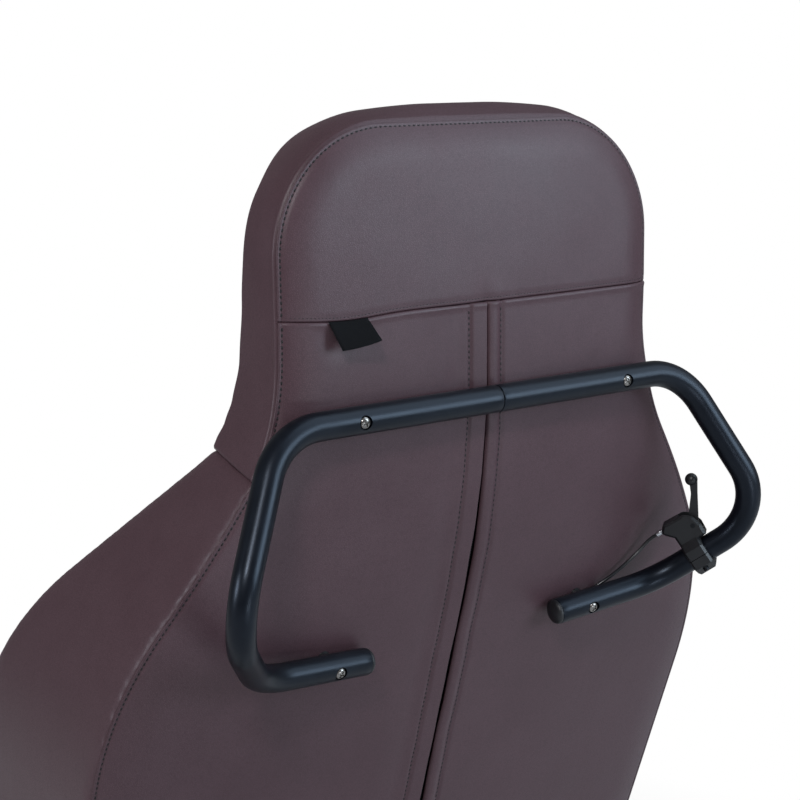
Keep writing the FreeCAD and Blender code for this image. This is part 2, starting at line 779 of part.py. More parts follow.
arm_pad = arm_pad.makeFillet(arm_edge, rim)
arm_pad = arm_pad.cut(panels[0]).cut(seat_slot)
keep("arm_left", arm_pad)
keep("arm_right", mirrored(arm_pad))
keep("seat_board", seat_panel)
seat_half = shell_half - arm_thick - 1
cushion_bottom = seat_board_low + seat_board_thick + soft_gap
keep("seat_cushion", raked(pad(seat_half, seat_back_y - seat_depth, seat_back_y, cushion_bottom, seat_top,
    seat_crown,
                               45.0)))


# Steel under the seat
rail_top = seat_board_low
rail_low = rail_top - rail
rail_in = rail_x - rail / 2
rail_out = rail_x + rail / 2
leg_y, leg_z = seat_point(seat_rail_front + 16, rail_low + rail / 2 - 2)


def seat_rail(s):
    x0, x1 = sorted((s * rail_in, s * rail_out))
    tube = raked(hollow_tube(x0, x1, seat_rail_front, seat_rail_back, rail_low, rail_top, rail_wall, "Y"))
    return tube.cut(rod(V(x0, leg_y, leg_z), V(x1, leg_y, leg_z), leg_pin_r))


keep("seat_rail_left", seat_rail(1))
keep("seat_rail_right", seat_rail(-1))
cross_at = [seat_rail_front + 90, seat_rail_back - rail]
ties = [raked(hollow_tube(-rail_in, rail_in, y, y + rail, rail_low, rail_top, rail_wall,
    "X")) for y in cross_at]
keep("seat_cross_tubes", *ties)

lug_out = rail_out + lug
lugs = []
bushes = []
bush_r = tilt_pin_r + 3
flange_out = lug_out + 0.8
lug_span = 60.0
for s in (1, -1):
    a = seat_point(tilt_y - lug_span, rail_top - 4)
    b = seat_point(tilt_y + lug_span, rail_top - 4)
    plate = slab("X", rail_out, lug_out, [
        a, (tilt_y - lug_r, tilt_z - lug_r, 0.98 * lug_r), (tilt_y + lug_r, tilt_z - lug_r, 0.98 * lug_r), b])
    plate = plate.cut(rod(V(rail_out, tilt_y, tilt_z), V(lug_out, tilt_y, tilt_z), bush_r))
    bush = rod(V(rail_out, tilt_y, tilt_z), V(lug_out, tilt_y, tilt_z), bush_r)
    bush = bush.fuse(rod(V(lug_out, tilt_y, tilt_z), V(flange_out, tilt_y, tilt_z), bush_r + 4))
    bush = bush.cut(rod(V(rail_out, tilt_y, tilt_z), V(flange_out, tilt_y, tilt_z), tilt_pin_r + run_fit))
    lugs.append(plate if s > 0 else mirrored(plate))
    bushes.append(bush.removeSplitter() if s > 0 else mirrored(bush.removeSplitter()))
keep("pivot_lugs", *lugs)
keep("pivot_bushes", *bushes)

strut = 8.0
strut_half = 19.0
strut_top = 700.0


def board_rear(z):
    return back_y(z, cover_to_board)


end_top = seat_point(seat_rail_back, rail_top)
end_low = seat_point(seat_rail_back, rail_low)
heel = seat_point(seat_board_back, rail_top)
strut_lean = strut / math.cos(tilt_back)
strut_corners = [
    (board_rear(strut_top), strut_top), (board_rear(strut_top) + strut_lean, strut_top),
    (board_rear(end_low[1]) + strut_lean, end_low[1], 12), end_low, end_top, heel, (board_rear(heel[1]),
    heel[1])]
keep("back_brackets", slab("X", rail_x - strut_half, rail_x + strut_half, strut_corners),
     slab("X", -rail_x - strut_half, -rail_x + strut_half, strut_corners))

# Gas spring between the base and the rear of the seat frame
low_end = V(0, *gas_low)
high_end = V(0, *gas_high)
push = (high_end - low_end).normalize()
gas_length = low_end.distanceToPoint(high_end)
eye_r = 11.0
eye_half = 9.0
ear_in = eye_half + 1
ear_out = ear_in + 5
ear_r = 13.0
barrel_start = ear_r + 4
eye_bore = rod(low_end - V(eye_half, 0, 0), low_end + V(eye_half, 0, 0), gas_pin_r + run_fit)
barrel = rod(low_end + push * barrel_start, low_end + push * gas_body, gas_r)
neck = rod(low_end, low_end + push * barrel_start, 7.0)
barrel = barrel.fuse(neck).fuse(rod(low_end - V(eye_half, 0, 0), low_end + V(eye_half, 0, 0), eye_r))
barrel = barrel.cut(rod(low_end + push * (barrel_start + 8), low_end + push * (gas_body - 9), gas_r - 2))
barrel = barrel.cut(rod(low_end + push * (gas_body - 10), low_end + push * (gas_body + 1),
    gas_rod_r + run_fit))
keep("gas_cylinder", barrel.cut(eye_bore).removeSplitter())
head_length = 46.0
rod_inner = 95.0
piston = rod(low_end + push * rod_inner, low_end + push * (rod_inner + 12), gas_r - 2 - run_fit)
stem = rod(low_end + push * rod_inner, high_end - push * head_length, gas_rod_r)
keep("gas_rod", stem.fuse(piston).removeSplitter())
head = slab("X", -eye_half, eye_half, [(0, -10, 3), (0, 11, 3), (-head_length, 9, 3), (-head_length, -8, 3)])
head.rotate(V(0, 0, 0), V(1, 0, 0), math.degrees(math.atan2(push.z, push.y)))
head.translate(high_end)
head = head.fuse(rod(high_end - V(eye_half, 0, 0), high_end + V(eye_half, 0, 0), eye_r))
head = head.cut(rod(high_end - V(eye_half, 0, 0), high_end + V(eye_half, 0, 0), gas_pin_r + gas_play))
keep("release_head", head.removeSplitter())


def clevis(corners, end):
    plates = [slab("X", ear_in, ear_out, corners), slab("X", -ear_out, -ear_in, corners)]
    line = (end - V(ear_out + 3, 0, 0), end + V(ear_out + 3, 0, 0))
    plates = [p.cut(rod(line[0], line[1], gas_pin_r)) for p in plates]
    return plates + [rod(line[0], line[1], gas_pin_r)]


hang_a = seat_point(cross_at[1] + 2, rail_low)
hang_b = seat_point(cross_at[1] + rail - 2, rail_low)
ears = clevis([hang_a, (high_end.y - ear_r, high_end.z - ear_r, 0.98 * ear_r),
               (high_end.y + ear_r, high_end.z - ear_r, 0.98 * ear_r),
               (high_end.y + ear_r, high_end.z + ear_r), hang_b],
              high_end)
stop_at = cable_points[-1]
stop_run = (cable_points[-1] - cable_points[-2]).normalize()
stop = block(-ear_in, ear_in, -7, 7, 0, 3)
stop.Placement = FreeCAD.Placement(stop_at, FreeCAD.Rotation(V(0, 0, 1), stop_run))
keep("gas_bracket_upper", *(ears + [stop]))
base_low = base_top - base_tube
root_y = cross_front + base_tube / 2
keep("gas_bracket_lower", *clevis([(root_y, base_low + 4), (root_y, low_end.z + ear_r), (
    low_end.y + ear_r, low_end.z + ear_r, 0.98 * ear_r),
    (low_end.y + ear_r, low_end.z - ear_r, 0.98 * ear_r)], low_end))

# Base frame
inner_x = base_x - base_tube / 2
outer_x = base_x + base_tube / 2


def base_rail(x0, x1):
    return hollow_tube(x0, x1, base_front, base_back, base_low, base_top, base_wall, "Y")


keep("base_rail_left", base_rail(inner_x, outer_x))
keep("base_rail_right", base_rail(-outer_x, -inner_x))
half_tube = base_tube / 2
bridges = [hollow_tube(-inner_x, inner_x, y - half_tube, y + half_tube, base_low, base_top, base_wall, "X")
           for y in (cross_front, cross_rear)]
keep("base_cross_rails", *bridges)
plugs = []
for x in (base_x, -base_x):
    for y, s in ((base_front, -1), (base_back, 1)):
        lid = block(x - half_tube, x + half_tube, min(y, y + 4 * s), max(y, y + 4 * s), base_low, base_top)
        lid = lid.makeFillet(2 * base_wall, [e for e in lid.Edges if abs(e.tangentAt(0).y) > 0.9])
        plugs.append(lid)
keep("base_end_caps", *plugs)
bracket_in = inner_x - bracket
bracket_r = 26.0
bracket_foot = 85.0
uprights = []
bolts = []
for s in (1, -1):
    plate = slab("X", bracket_in, inner_x, [
        (tilt_y - bracket_foot, base_low + 6), (tilt_y + bracket_foot, base_low + 6),
        (tilt_y + bracket_foot, base_top + 6, 10), (tilt_y + bracket_r, tilt_z + bracket_r, 0.98 * bracket_r),
        (tilt_y - bracket_r, tilt_z + bracket_r, 0.98 * bracket_r),
        (tilt_y - bracket_foot, base_top + 6, 10)])
    plate = plate.cut(rod(V(bracket_in, tilt_y, tilt_z), V(inner_x, tilt_y, tilt_z), tilt_pin_r))
    nut_out = rail_out - 0.5
    bolt = rod(V(nut_out - 10, tilt_y, tilt_z), V(inner_x, tilt_y, tilt_z), tilt_pin_r)
    bolt = bolt.fuse(rod(V(inner_x, tilt_y, tilt_z), V(inner_x + 8, tilt_y, tilt_z), tilt_pin_r + 4))
    bolt = bolt.fuse(rod(V(nut_out - 10, tilt_y, tilt_z), V(nut_out, tilt_y, tilt_z),
        tilt_pin_r + 3)).removeSplitter()
    uprights.append(plate if s > 0 else mirrored(plate))
    bolts.append(bolt if s > 0 else mirrored(bolt))
keep("pivot_brackets", *uprights)
keep("pivot_bolts", *bolts)

# Castors
housing_low = 2 * wheel_r + 15
crown_top = housing_low - 0.5
crown_low = crown_top - 7
crown_r = 27.0
fork_in = wheel_half + 2
fork_out = fork_in + fork_plate
hub_r = wheel_r - tyre
pedal_turn = math.radians(50.0)
pedal_reach = wheel_r + 10
pedal_dy = castor_trail + pedal_reach * math.cos(pedal_turn)
pedal_z = wheel_r + pedal_reach * math.sin(pedal_turn)
pedal_pin_r = 3.0
places = {"front_left": (base_x, castor_front), "front_right": (-base_x, castor_front),
          "rear_left": (base_x, castor_rear), "rear_right": (-base_x, castor_rear)}
housings = []


def spun(points, x, y):
    # closed profile (across, radius) turned about the wheel axle
    wire = Part.makePolygon([V(x + a, y, wheel_r + r) for a, r in points + points[:1]])
    return Part.Face(wire).revolve(V(x, y, wheel_r), V(1, 0, 0), 360)


for name, (x, y) in places.items():
    braked = name.startswith("rear")
    bush = rod(V(x, y, housing_low), V(x, y, base_low), 26.0)
    housings.append(bush.cut(rod(V(x, y, housing_low), V(x, y, base_low), stem_r + run_fit)))
    axle_y = y + castor_trail
    fork = rod(V(x, y, crown_low), V(x, y, crown_top), crown_r)
    fork = fork.fuse(rod(V(x, y, crown_low), V(x, y, base_low - 2), stem_r))
    for s in (1, -1):
        x0, x1 = sorted((x + s * fork_in, x + s * fork_out))
        fork = fork.fuse(slab("X", x0, x1, [
            (y - 16, crown_top), (y + 22, crown_top), (axle_y + 14, wheel_r + 22),
            (axle_y + 14, wheel_r - 14, 13.5), (axle_y - 14, wheel_r - 14, 13.5)]))
        if braked:
            fork = fork.fuse(slab("X", x0, x1, [
                (y - 5, crown_top), (y + pedal_dy - 4, crown_top - 2, 10), (y + pedal_dy + 9, pedal_z, 8),
                (y + pedal_dy - 2, pedal_z - 9, 8), (axle_y - 6, wheel_r + 20)]))
    fork = fork.fuse(rod(V(x - fork_out - 3, axle_y, wheel_r), V(x + fork_out + 3, axle_y, wheel_r), axle_r))
    if braked:
        line = (V(x - fork_out, y + pedal_dy, pedal_z), V(x + fork_out, y + pedal_dy, pedal_z))
        fork = fork.fuse(rod(line[0], line[1], pedal_pin_r))
        span = fork_in - 0.5
        pedal = rod(V(x - span, y + pedal_dy, pedal_z), V(x + span, y + pedal_dy, pedal_z), 6.0)
        pedal = pedal.fuse(slab("X", x - span, x + span, [
            (y + pedal_dy, pedal_z - 2), (y + pedal_dy + 42, pedal_z + 2, 2),
            (y + pedal_dy + 42, pedal_z + 8, 2),
            (y + pedal_dy, pedal_z + 5)]))
        keep("brake_pedal_" + name[5:], pedal.cut(rod(line[0], line[1],
            pedal_pin_r + run_fit)).removeSplitter())
    keep("castor_fork_" + name, fork.removeSplitter())
    rim_half = wheel_half - 3
    boss_half = fork_in - 0.5
    hub = spun([(-boss_half, axle_r + run_fit), (boss_half, axle_r + run_fit), (boss_half, 13), (5, 15),
        (5, hub_r - 8),
                (rim_half, hub_r - 6), (rim_half, hub_r), (-rim_half, hub_r), (-rim_half, hub_r - 6),
                (-5, hub_r - 8),
                (-5, 15), (-boss_half, 13)], x, axle_y)
    band = spun([(-rim_half, hub_r), (rim_half, hub_r), (wheel_half, hub_r + 2), (wheel_half, wheel_r - 6),
                 (wheel_half - 3, wheel_r - 2), (wheel_half - 8, wheel_r), (8 - wheel_half, wheel_r),
                 (3 - wheel_half, wheel_r - 2), (-wheel_half, wheel_r - 6), (-wheel_half, hub_r + 2)], x,
                 axle_y)
    keep("castor_wheel_" + name, hub, band)
keep("castor_housings", *housings)

# Leg rest
pins = []
bar_out = rail_in - 1
bar_in = bar_out - leg_bar
for s in (1, -1):
    x0, x1 = sorted((s * (bar_in - 3), s * (rail_out + 2)))
    pins.append(rod(V(x0, leg_y, leg_z), V(x1, leg_y, leg_z), leg_pin_r))
keep("legrest_pins", *pins)
bar_half = leg_bar_wide / 2
bar_end = 0.98 * bar_half
foot_z = leg_z - leg_length
foot_y = leg_y - bar_half - leg_pad - leg_clear


def hung(shape):
    return turned(shape, leg_y, leg_z, -leg_angle)


legs = rod(V(-bar_out, foot_y, foot_z), V(bar_out, foot_y, foot_z), leg_pin_r)
for s in (1, -1):
    x0, x1 = sorted((s * bar_in, s * bar_out))
    flat = slab("X", x0, x1, [
        (leg_y - bar_half, leg_z + bar_half, bar_end), (leg_y + bar_half, leg_z + bar_half, bar_end),
        (leg_y + bar_half, foot_z - bar_half, leg_bar_wide), (foot_y - bar_half, foot_z - bar_half, bar_end),
        (foot_y - bar_half, foot_z + bar_half, bar_end), (leg_y - bar_half, foot_z + bar_half, bar_half)])
    legs = legs.fuse(flat.cut(rod(V(x0, leg_y, leg_z), V(x1, leg_y, leg_z), leg_pin_r + run_fit)))
leg_cross_y = leg_y - bar_half + leg_cross
for z in (leg_z - leg_pad_drop - 30, foot_z + 80):
    legs = legs.fuse(rod(V(-bar_in, leg_cross_y, z), V(bar_in, leg_cross_y, z), leg_cross))
keep("legrest_frame", hung(legs.removeSplitter()))
leg_top = leg_z - leg_pad_drop
leg_low = foot_z + 24
lying = pad(leg_pad_half, 0, leg_top - leg_low, 0, leg_pad, 7.0, 30.0)
lying.rotate(V(0, 0, 0), V(1, 0, 0), 90)
lying.translate(V(0, leg_y - bar_half - soft_gap, leg_low))
keep("legrest_pad", hung(lying))

foot_at = hung(Part.Vertex(V(0, foot_y, foot_z))).Point
knuckle_r = leg_pin_r + 5
plate = rod(V(-foot_half, foot_at.y, foot_at.z), V(foot_half, foot_at.y, foot_at.z), knuckle_r)
tread = slab("Z", foot_at.z - foot_plate, foot_at.z, [
    (-foot_half, foot_at.y), (foot_half, foot_at.y), (foot_half, foot_at.y - foot_depth, 30),
    (-foot_half, foot_at.y - foot_depth, 30)])
plate = plate.fuse(tread).cut(rod(V(-far, foot_at.y, foot_at.z), V(far, foot_at.y, foot_at.z),
    leg_pin_r + run_fit))
keep("footplate", plate.removeSplitter())

# The origin is on the floor under the middle of the footprint
front_end = nodes["footplate"][0].BoundBox.YMin
rear_end = nodes["push_handle_left"][0].optimalBoundingBox().YMax
footprint_shift = -(front_end + rear_end) / 2
for name, shapes in nodes.items():
    shape = shapes[0] if len(shapes) == 1 else Part.makeCompound(shapes)
    if not shape.isValid() or len(shape.Solids) != len(shapes):
        print("check", name, len(shape.Solids), len(shapes), shape.isValid())
    moved = shape.copy()
    moved.translate(V(0, footprint_shift, 0))
    moved.exportStep("parts/" + name + ".step")
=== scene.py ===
import bpy
import bmesh
import math
from mathutils import Matrix, Vector, noise
from mathutils.bvhtree import BVHTree


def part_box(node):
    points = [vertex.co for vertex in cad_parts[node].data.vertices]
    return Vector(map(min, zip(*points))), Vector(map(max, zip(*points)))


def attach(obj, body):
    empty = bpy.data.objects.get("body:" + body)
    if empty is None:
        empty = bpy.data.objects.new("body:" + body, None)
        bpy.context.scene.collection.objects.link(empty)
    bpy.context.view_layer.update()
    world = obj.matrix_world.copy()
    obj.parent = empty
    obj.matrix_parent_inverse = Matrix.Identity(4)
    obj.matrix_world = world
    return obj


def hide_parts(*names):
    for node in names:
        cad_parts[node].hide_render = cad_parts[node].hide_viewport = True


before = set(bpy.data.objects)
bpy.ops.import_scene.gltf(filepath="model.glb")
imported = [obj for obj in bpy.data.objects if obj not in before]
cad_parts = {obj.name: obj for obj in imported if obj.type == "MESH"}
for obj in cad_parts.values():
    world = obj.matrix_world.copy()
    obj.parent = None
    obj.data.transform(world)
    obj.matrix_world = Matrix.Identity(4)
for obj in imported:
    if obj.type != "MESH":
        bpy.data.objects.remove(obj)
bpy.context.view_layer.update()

spigotLow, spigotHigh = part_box("handle_spigot")
barY = (spigotLow.y + spigotHigh.y) / 2   # axis of the push bar
barZ = (spigotLow.z + spigotHigh.z) / 2
print("frame loaded, bar at", round(barY, 4), round(barZ, 4))


# shader sockets written as expressions
class Sock:
    def __init__(self, tree, out=None):
        self.tree = tree
        self.out = out

    def node(self, kind, settings=None, inputs=None, pick=0):
        made = self.tree.nodes.new(kind)
        for key, value in (settings or {}).items():
            setattr(made, key, value)
        for key, value in (inputs or {}).items():
            if isinstance(value, Sock):
                self.tree.links.new(value.out, made.inputs[key])
            else:
                made.inputs[key].default_value = value
        return Sock(self.tree, made.outputs[pick])

    def sum(self, operation, first, second=0.0):
        return self.node("ShaderNodeMath", {"operation": operation}, {0: first, 1: second})

    def __add__(self, other):
        return self.sum("ADD", self, other)

    def __radd__(self, other):
        return self.sum("ADD", other, self)

    def __sub__(self, other):
        return self.sum("SUBTRACT", self, other)

    def __rsub__(self, other):
        return self.sum("SUBTRACT", other, self)

    def __mul__(self, other):
        return self.sum("MULTIPLY", self, other)

    def __rmul__(self, other):
        return self.sum("MULTIPLY", other, self)

    def clamp(self):
        return self.node("ShaderNodeClamp", None, {"Value": self, "Min": 0.0, "Max": 1.0})

    def ramp(self, low, high):
        return self.node("ShaderNodeMapRange", {"clamp": True},
                         {"Value": self, "From Min": low, "From Max": high})

    def blend(self, first, second):   # colours, this value as the factor
        return self.node("ShaderNodeMix", {"data_type": "RGBA"}, {0: self, 6: first, 7: second}, 2)

    def other(self, pick):   # another output of the same node
        return Sock(self.tree, self.out.node.outputs[pick])


def linear(level):
    # a display level, 0 to 255, as linear light
    return level / 255 / 12.92 if level <= 10 else ((level / 255 + 0.055) / 1.055) ** 2.4


def srgb(r, g, b):
    return (linear(r), linear(g), linear(b), 1.0)


def tinted(colour, gain, lift=0.0):
    return tuple(c * gain + lift for c in colour[:3]) + (1.0,)


def startFinish(name):
    made = bpy.data.materials.new(name)
    made.use_nodes = True
    tree = made.node_tree
    shader = tree.nodes["Principled BSDF"]
    start = Sock(tree)
    place = start.node("ShaderNodeTexCoord", None, None, 3)
    return made, shader, start, place


def plug(shader, tree, **wires):
    names = {"colour": "Base Color", "rough": "Roughness", "metal": "Metallic", "normal": "Normal"}
    for key, value in wires.items():
        if isinstance(value, Sock):
            tree.links.new(value.out, shader.inputs[names[key]])
        else:
            shader.inputs[names[key]].default_value = value


def grainNoise(start, place, scale, detail=2.0, rough=0.5, stretch=(1, 1, 1)):
    spread = start.node("ShaderNodeVectorMath", {"operation": "MULTIPLY"}, {0: place, 1: stretch})
    return start.node("ShaderNodeTexNoise", None,
                      {"Vector": spread, "Scale": scale, "Detail": detail, "Roughness": rough})


def bump(start, height, strength, distance, under=None):
    inputs = {"Height": height, "Strength": strength, "Distance": distance}
    if under is not None:
        inputs["Normal"] = under
    return start.node("ShaderNodeBump", None, inputs)


vinylLook = {"colour": srgb(75, 53, 59), "worn": srgb(83, 61, 67), "pit": srgb(51, 35, 39), "rough": 0.36,
             "cell": 700.0, "crease": 38.0, "shine": 0.34, "warp": 240.0, "shake": 0.0016, "fine": 1900.0,
             "cloud": 9.0, "rub": 55.0, "pitShare": 0.55, "wornRough": 0.08, "pitRough": 0.06,
             "creaseBump": 0.06, "creaseDeep": 0.004, "grainBump": 0.16, "grainDeep": 0.0003}


def vinyl(name, look):
    made, shader, start, place = startFinish(name)
    warp = grainNoise(start, place, look["warp"], 2.0)
    shaken = start.node("ShaderNodeVectorMath", {"operation": "MULTIPLY_ADD"},
                        {0: warp, 1: (look["shake"],) * 3, 2: place})
    cells = start.node("ShaderNodeTexVoronoi", {"feature": "DISTANCE_TO_EDGE"},
                       {"Vector": shaken, "Scale": look["cell"]})
    pebble = cells.ramp(0.0, 0.28)
    fine = grainNoise(start, place, look["fine"], 1.0)
    cloud = grainNoise(start, place, look["cloud"], 4.0, 0.6)
    rub = grainNoise(start, place, look["rub"], 5.0, 0.7)
    crease = grainNoise(start, place, look["crease"], 3.0, 0.55, (1.0, 1.0, 0.45))
    wear = (cloud * 0.7 + rub * 0.3).ramp(0.36, 0.66)
    tone = wear.blend(look["colour"], look["worn"])
    dark = pebble.blend(look["pit"], tone)
    colour = start.node("ShaderNodeMix", {"data_type": "RGBA"}, {0: look["pitShare"], 6: tone, 7: dark}, 2)
    rough = look["rough"] + look["wornRough"] * wear + look["pitRough"] * (1 - pebble)
    soft = bump(start, crease, look["creaseBump"], look["creaseDeep"])
    grain = bump(start, pebble + 0.35 * fine, look["grainBump"], look["grainDeep"], soft)
    plug(shader, start.tree, colour=colour, rough=rough, normal=grain)
    shader.inputs["Specular IOR Level"].default_value = look["shine"]
    return made


powderLook = {"peel": 900.0, "broad": 26.0, "paler": 1.7, "lift": 0.002, "uneven": 0.06, "peelDeep": 0.0002,
              "shine": 0.28}


def powder(name, colour, rough, speckle, tint=(1.0, 1.0, 1.0, 1.0)):
    look = powderLook
    made, shader, start, place = startFinish(name)
    peel = grainNoise(start, place, look["peel"], 1.0, 0.5)
    broad = grainNoise(start, place, look["broad"], 4.0, 0.6)
    tone = broad.ramp(0.35, 0.7).blend(colour, tinted(colour, look["paler"], look["lift"]))
    plug(shader, start.tree, colour=tone, rough=rough + look["uneven"] * broad.ramp(0.3, 0.7),
         normal=bump(start, peel, speckle, look["peelDeep"]))
    shader.inputs["Specular IOR Level"].default_value = look["shine"]
    shader.inputs["Specular Tint"].default_value = tint
    return made


steelLook = {"lines": 160.0, "stain": 34.0, "duller": 0.78, "uneven": 0.16, "lineBump": 0.05,
             "lineDeep": 0.0005}


def steel(name, colour, rough, scratch=(1, 1, 30)):
    look = steelLook
    made, shader, start, place = startFinish(name)
    lines = grainNoise(start, place, look["lines"], 3.0, 0.6, scratch)
    stain = grainNoise(start, place, look["stain"], 4.0, 0.6)
    tone = stain.ramp(0.35, 0.75).blend(colour, tinted(colour, look["duller"]))
    plug(shader, start.tree, colour=tone, metal=1.0, rough=rough + look["uneven"] * lines.ramp(0.3, 0.7),
         normal=bump(start, lines, look["lineBump"], look["lineDeep"]))
    return made


plasticLook = {"spark": 2300.0, "cloud": 40.0, "paler": 1.6, "lift": 0.003, "uneven": 0.14,
               "sparkBump": 0.18, "sparkDeep": 0.0002}


def mouldedPlastic(name, colour, rough):
    look = plasticLook
    made, shader, start, place = startFinish(name)
    spark = grainNoise(start, place, look["spark"], 2.0, 0.7)
    cloud = grainNoise(start, place, look["cloud"], 3.0, 0.6)
    tone = cloud.ramp(0.3, 0.75).blend(colour, tinted(colour, look["paler"], look["lift"]))
    plug(shader, start.tree, colour=tone, rough=rough + look["uneven"] * cloud,
         normal=bump(start, spark, look["sparkBump"], look["sparkDeep"]))
    return made


tapeLook = {"lint": 500.0, "darker": 0.45, "rough": 0.72, "uneven": 0.15, "weaveBump": 0.5,
            "weaveDeep": 0.0004, "shine": 0.15}


def wovenTape(name, colour, pitch):
    look = tapeLook
    made, shader, start, place = startFinish(name)
    parts = start.node("ShaderNodeSeparateXYZ", None, {0: place})
    turn = 2 * math.pi / pitch
    weave = start.sum("SINE", parts.other("Z") * turn) * start.sum("SINE", parts.other("X") * turn)
    height = weave.ramp(-1.0, 1.0)
    lint = grainNoise(start, place, look["lint"], 3.0, 0.7)
    tone = (height * 0.7 + lint * 0.3).blend(tinted(colour, look["darker"]), colour)
    plug(shader, start.tree, colour=tone, rough=look["rough"] + look["uneven"] * lint,
         normal=bump(start, height + 0.3 * lint, look["weaveBump"], look["weaveDeep"]))
    shader.inputs["Specular IOR Level"].default_value = look["shine"]
    return made


plyLook = {"rings": 9.0, "fibre": 420.0, "rough": 0.55, "uneven": 0.15, "fibreBump": 0.15,
           "fibreDeep": 0.0005}


def ply(name, dark, pale):
    look = plyLook
    made, shader, start, place = startFinish(name)
    rings = grainNoise(start, place, look["rings"], 5.0, 0.55, (6.0, 1.0, 0.8))
    fibre = grainNoise(start, place, look["fibre"], 2.0, 0.6, (1.0, 0.2, 0.06))
    tone = (rings * 0.75 + fibre * 0.25).ramp(0.3, 0.72).blend(dark, pale)
    plug(shader, start.tree, colour=tone, rough=look["rough"] + look["uneven"] * fibre,
         normal=bump(start, fibre, look["fibreBump"], look["fibreDeep"]))
    return made


glossLook = {"peel": 320.0, "dust": 90.0, "lift": 0.012, "rough": 0.16, "uneven": 0.18, "peelBump": 0.06,
             "peelDeep": 0.0004, "coat": 0.4}


def gloss(name, colour):
    look = glossLook
    made, shader, start, place = startFinish(name)
    peel = grainNoise(start, place, look["peel"], 2.0, 0.5)
    dust = grainNoise(start, place, look["dust"], 4.0, 0.7)
    tone = dust.ramp(0.45, 0.8).blend(colour, tinted(colour, 1.0, look["lift"]))
    plug(shader, start.tree, colour=tone, rough=look["rough"] + look["uneven"] * dust.ramp(0.4, 0.8),
         normal=bump(start, peel, look["peelBump"], look["peelDeep"]))
    shader.inputs["Coat Weight"].default_value = look["coat"]
    return made


wheelLook = {"hubReach": 0.0515, "blend": 0.0006, "scuff": 60.0, "fine": 1500.0, "ringPitch": 0.006,
             "rubber": (srgb(82, 84, 86), srgb(112, 112, 110)), "hub": (srgb(26, 27, 29), srgb(40, 41, 43)),
             "rough": 0.42, "tyreRough": 0.25, "scuffRough": 0.1, "bump": 0.25, "deep": 0.0005}


def castorFinish(name, axle, look):
    # tyre outside, hub disc inside, told apart by the distance from the axle
    made, shader, start, place = startFinish(name)
    away = start.node("ShaderNodeVectorMath", {"operation": "SUBTRACT"}, {0: place, 1: tuple(axle)})
    flat = start.node("ShaderNodeVectorMath", {"operation": "MULTIPLY"}, {0: away, 1: (0, 1, 1)})
    radius = start.node("ShaderNodeVectorMath", {"operation": "LENGTH"}, {0: flat}, 1)
    tyre = radius.ramp(look["hubReach"] - look["blend"], look["hubReach"] + look["blend"])
    scuff = grainNoise(start, place, look["scuff"], 5.0, 0.7)
    fine = grainNoise(start, place, look["fine"], 2.0, 0.6)
    rubber = scuff.ramp(0.35, 0.75).blend(*look["rubber"])
    hub = scuff.ramp(0.35, 0.8).blend(*look["hub"])
    rings = start.sum("SINE", radius * (2 * math.pi / look["ringPitch"])).ramp(0.7, 1.0)
    plug(shader, start.tree, colour=tyre.blend(hub, rubber),
         rough=look["rough"] + look["tyreRough"] * tyre + look["scuffRough"] * scuff,
         normal=bump(start, fine * 0.4 + rings * (1 - tyre), look["bump"], look["deep"]))
    return made


threadLook = {"colour": srgb(9, 5, 7), "twist": 0.0011, "fuzz": 2400.0, "paler": 1.5, "rough": 0.6,
              "uneven": 0.2, "twistBump": 0.4, "twistDeep": 0.0003}


def thread(name, look):
    made, shader, start, place = startFinish(name)
    fuzz = grainNoise(start, place, look["fuzz"], 2.0, 0.7)
    strands = start.node("ShaderNodeTexWave", {"wave_type": "BANDS", "bands_direction": "DIAGONAL"},
                         {"Vector": place, "Scale": 1 / look["twist"] / 6, "Distortion": 0.5})
    tone = fuzz.blend(look["colour"], tinted(look["colour"], look["paler"]))
    plug(shader, start.tree, colour=tone, rough=look["rough"] + look["uneven"] * fuzz,
         normal=bump(start, strands, look["twistBump"], look["twistDeep"]))
    return made


vinylSkin = vinyl("vinyl_aubergine", vinylLook)
handlePowder = powder("powder_black", srgb(6, 8, 14), 0.31, 0.22, (0.70, 0.82, 1.0, 1.0))
framePowder = powder("powder_frame", srgb(58, 60, 64), 0.38, 0.30)
zincPlate = steel("zinc_plate", srgb(214, 216, 220), 0.20)
chromeRod = steel("chrome_rod", srgb(226, 228, 232), 0.06, (1, 1, 4))
blackSteel = steel("steel_blacked", srgb(46, 47, 50), 0.34)
screwSteel = steel("screw_steel", srgb(150, 146, 142), 0.16)
blackNylon = mouldedPlastic("nylon_black", srgb(13, 14, 17), 0.36)
cableSheath = mouldedPlastic("sheath_black", srgb(17, 17, 20), 0.22)
zipTape = wovenTape("zip_tape", srgb(24, 20, 24), 0.0016)
ribbonSatin = wovenTape("ribbon_satin", srgb(8, 9, 13), 0.0009)
birchPly = ply("birch_ply", srgb(190, 152, 108), srgb(224, 194, 150))
stainedPly = ply("stained_ply", srgb(22, 20, 20), srgb(38, 34, 33))
gasGloss = gloss("gas_gloss", srgb(14, 14, 16))
treadRubber = mouldedPlastic("tread_rubber", srgb(42, 43, 46), 0.55)
seamThread = thread("seam_thread", threadLook)
print("finishes ready")


# making and placing pieces
def addObject(name, data):
    made = bpy.data.objects.new(name, data)
    bpy.context.scene.collection.objects.link(made)
    return made


def keepPiece(name, bm, finish, body, stands=(), smooth=True):
    data = bpy.data.meshes.new(name)
    bmesh.ops.recalc_face_normals(bm, faces=bm.faces)
    for face in bm.faces:
        face.smooth = smooth
    bm.to_mesh(data)
    bm.free()
    piece = addObject(name, data)
    data.materials.append(finish)
    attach(piece, body)
    if stands:
        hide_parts(*stands)
    return piece


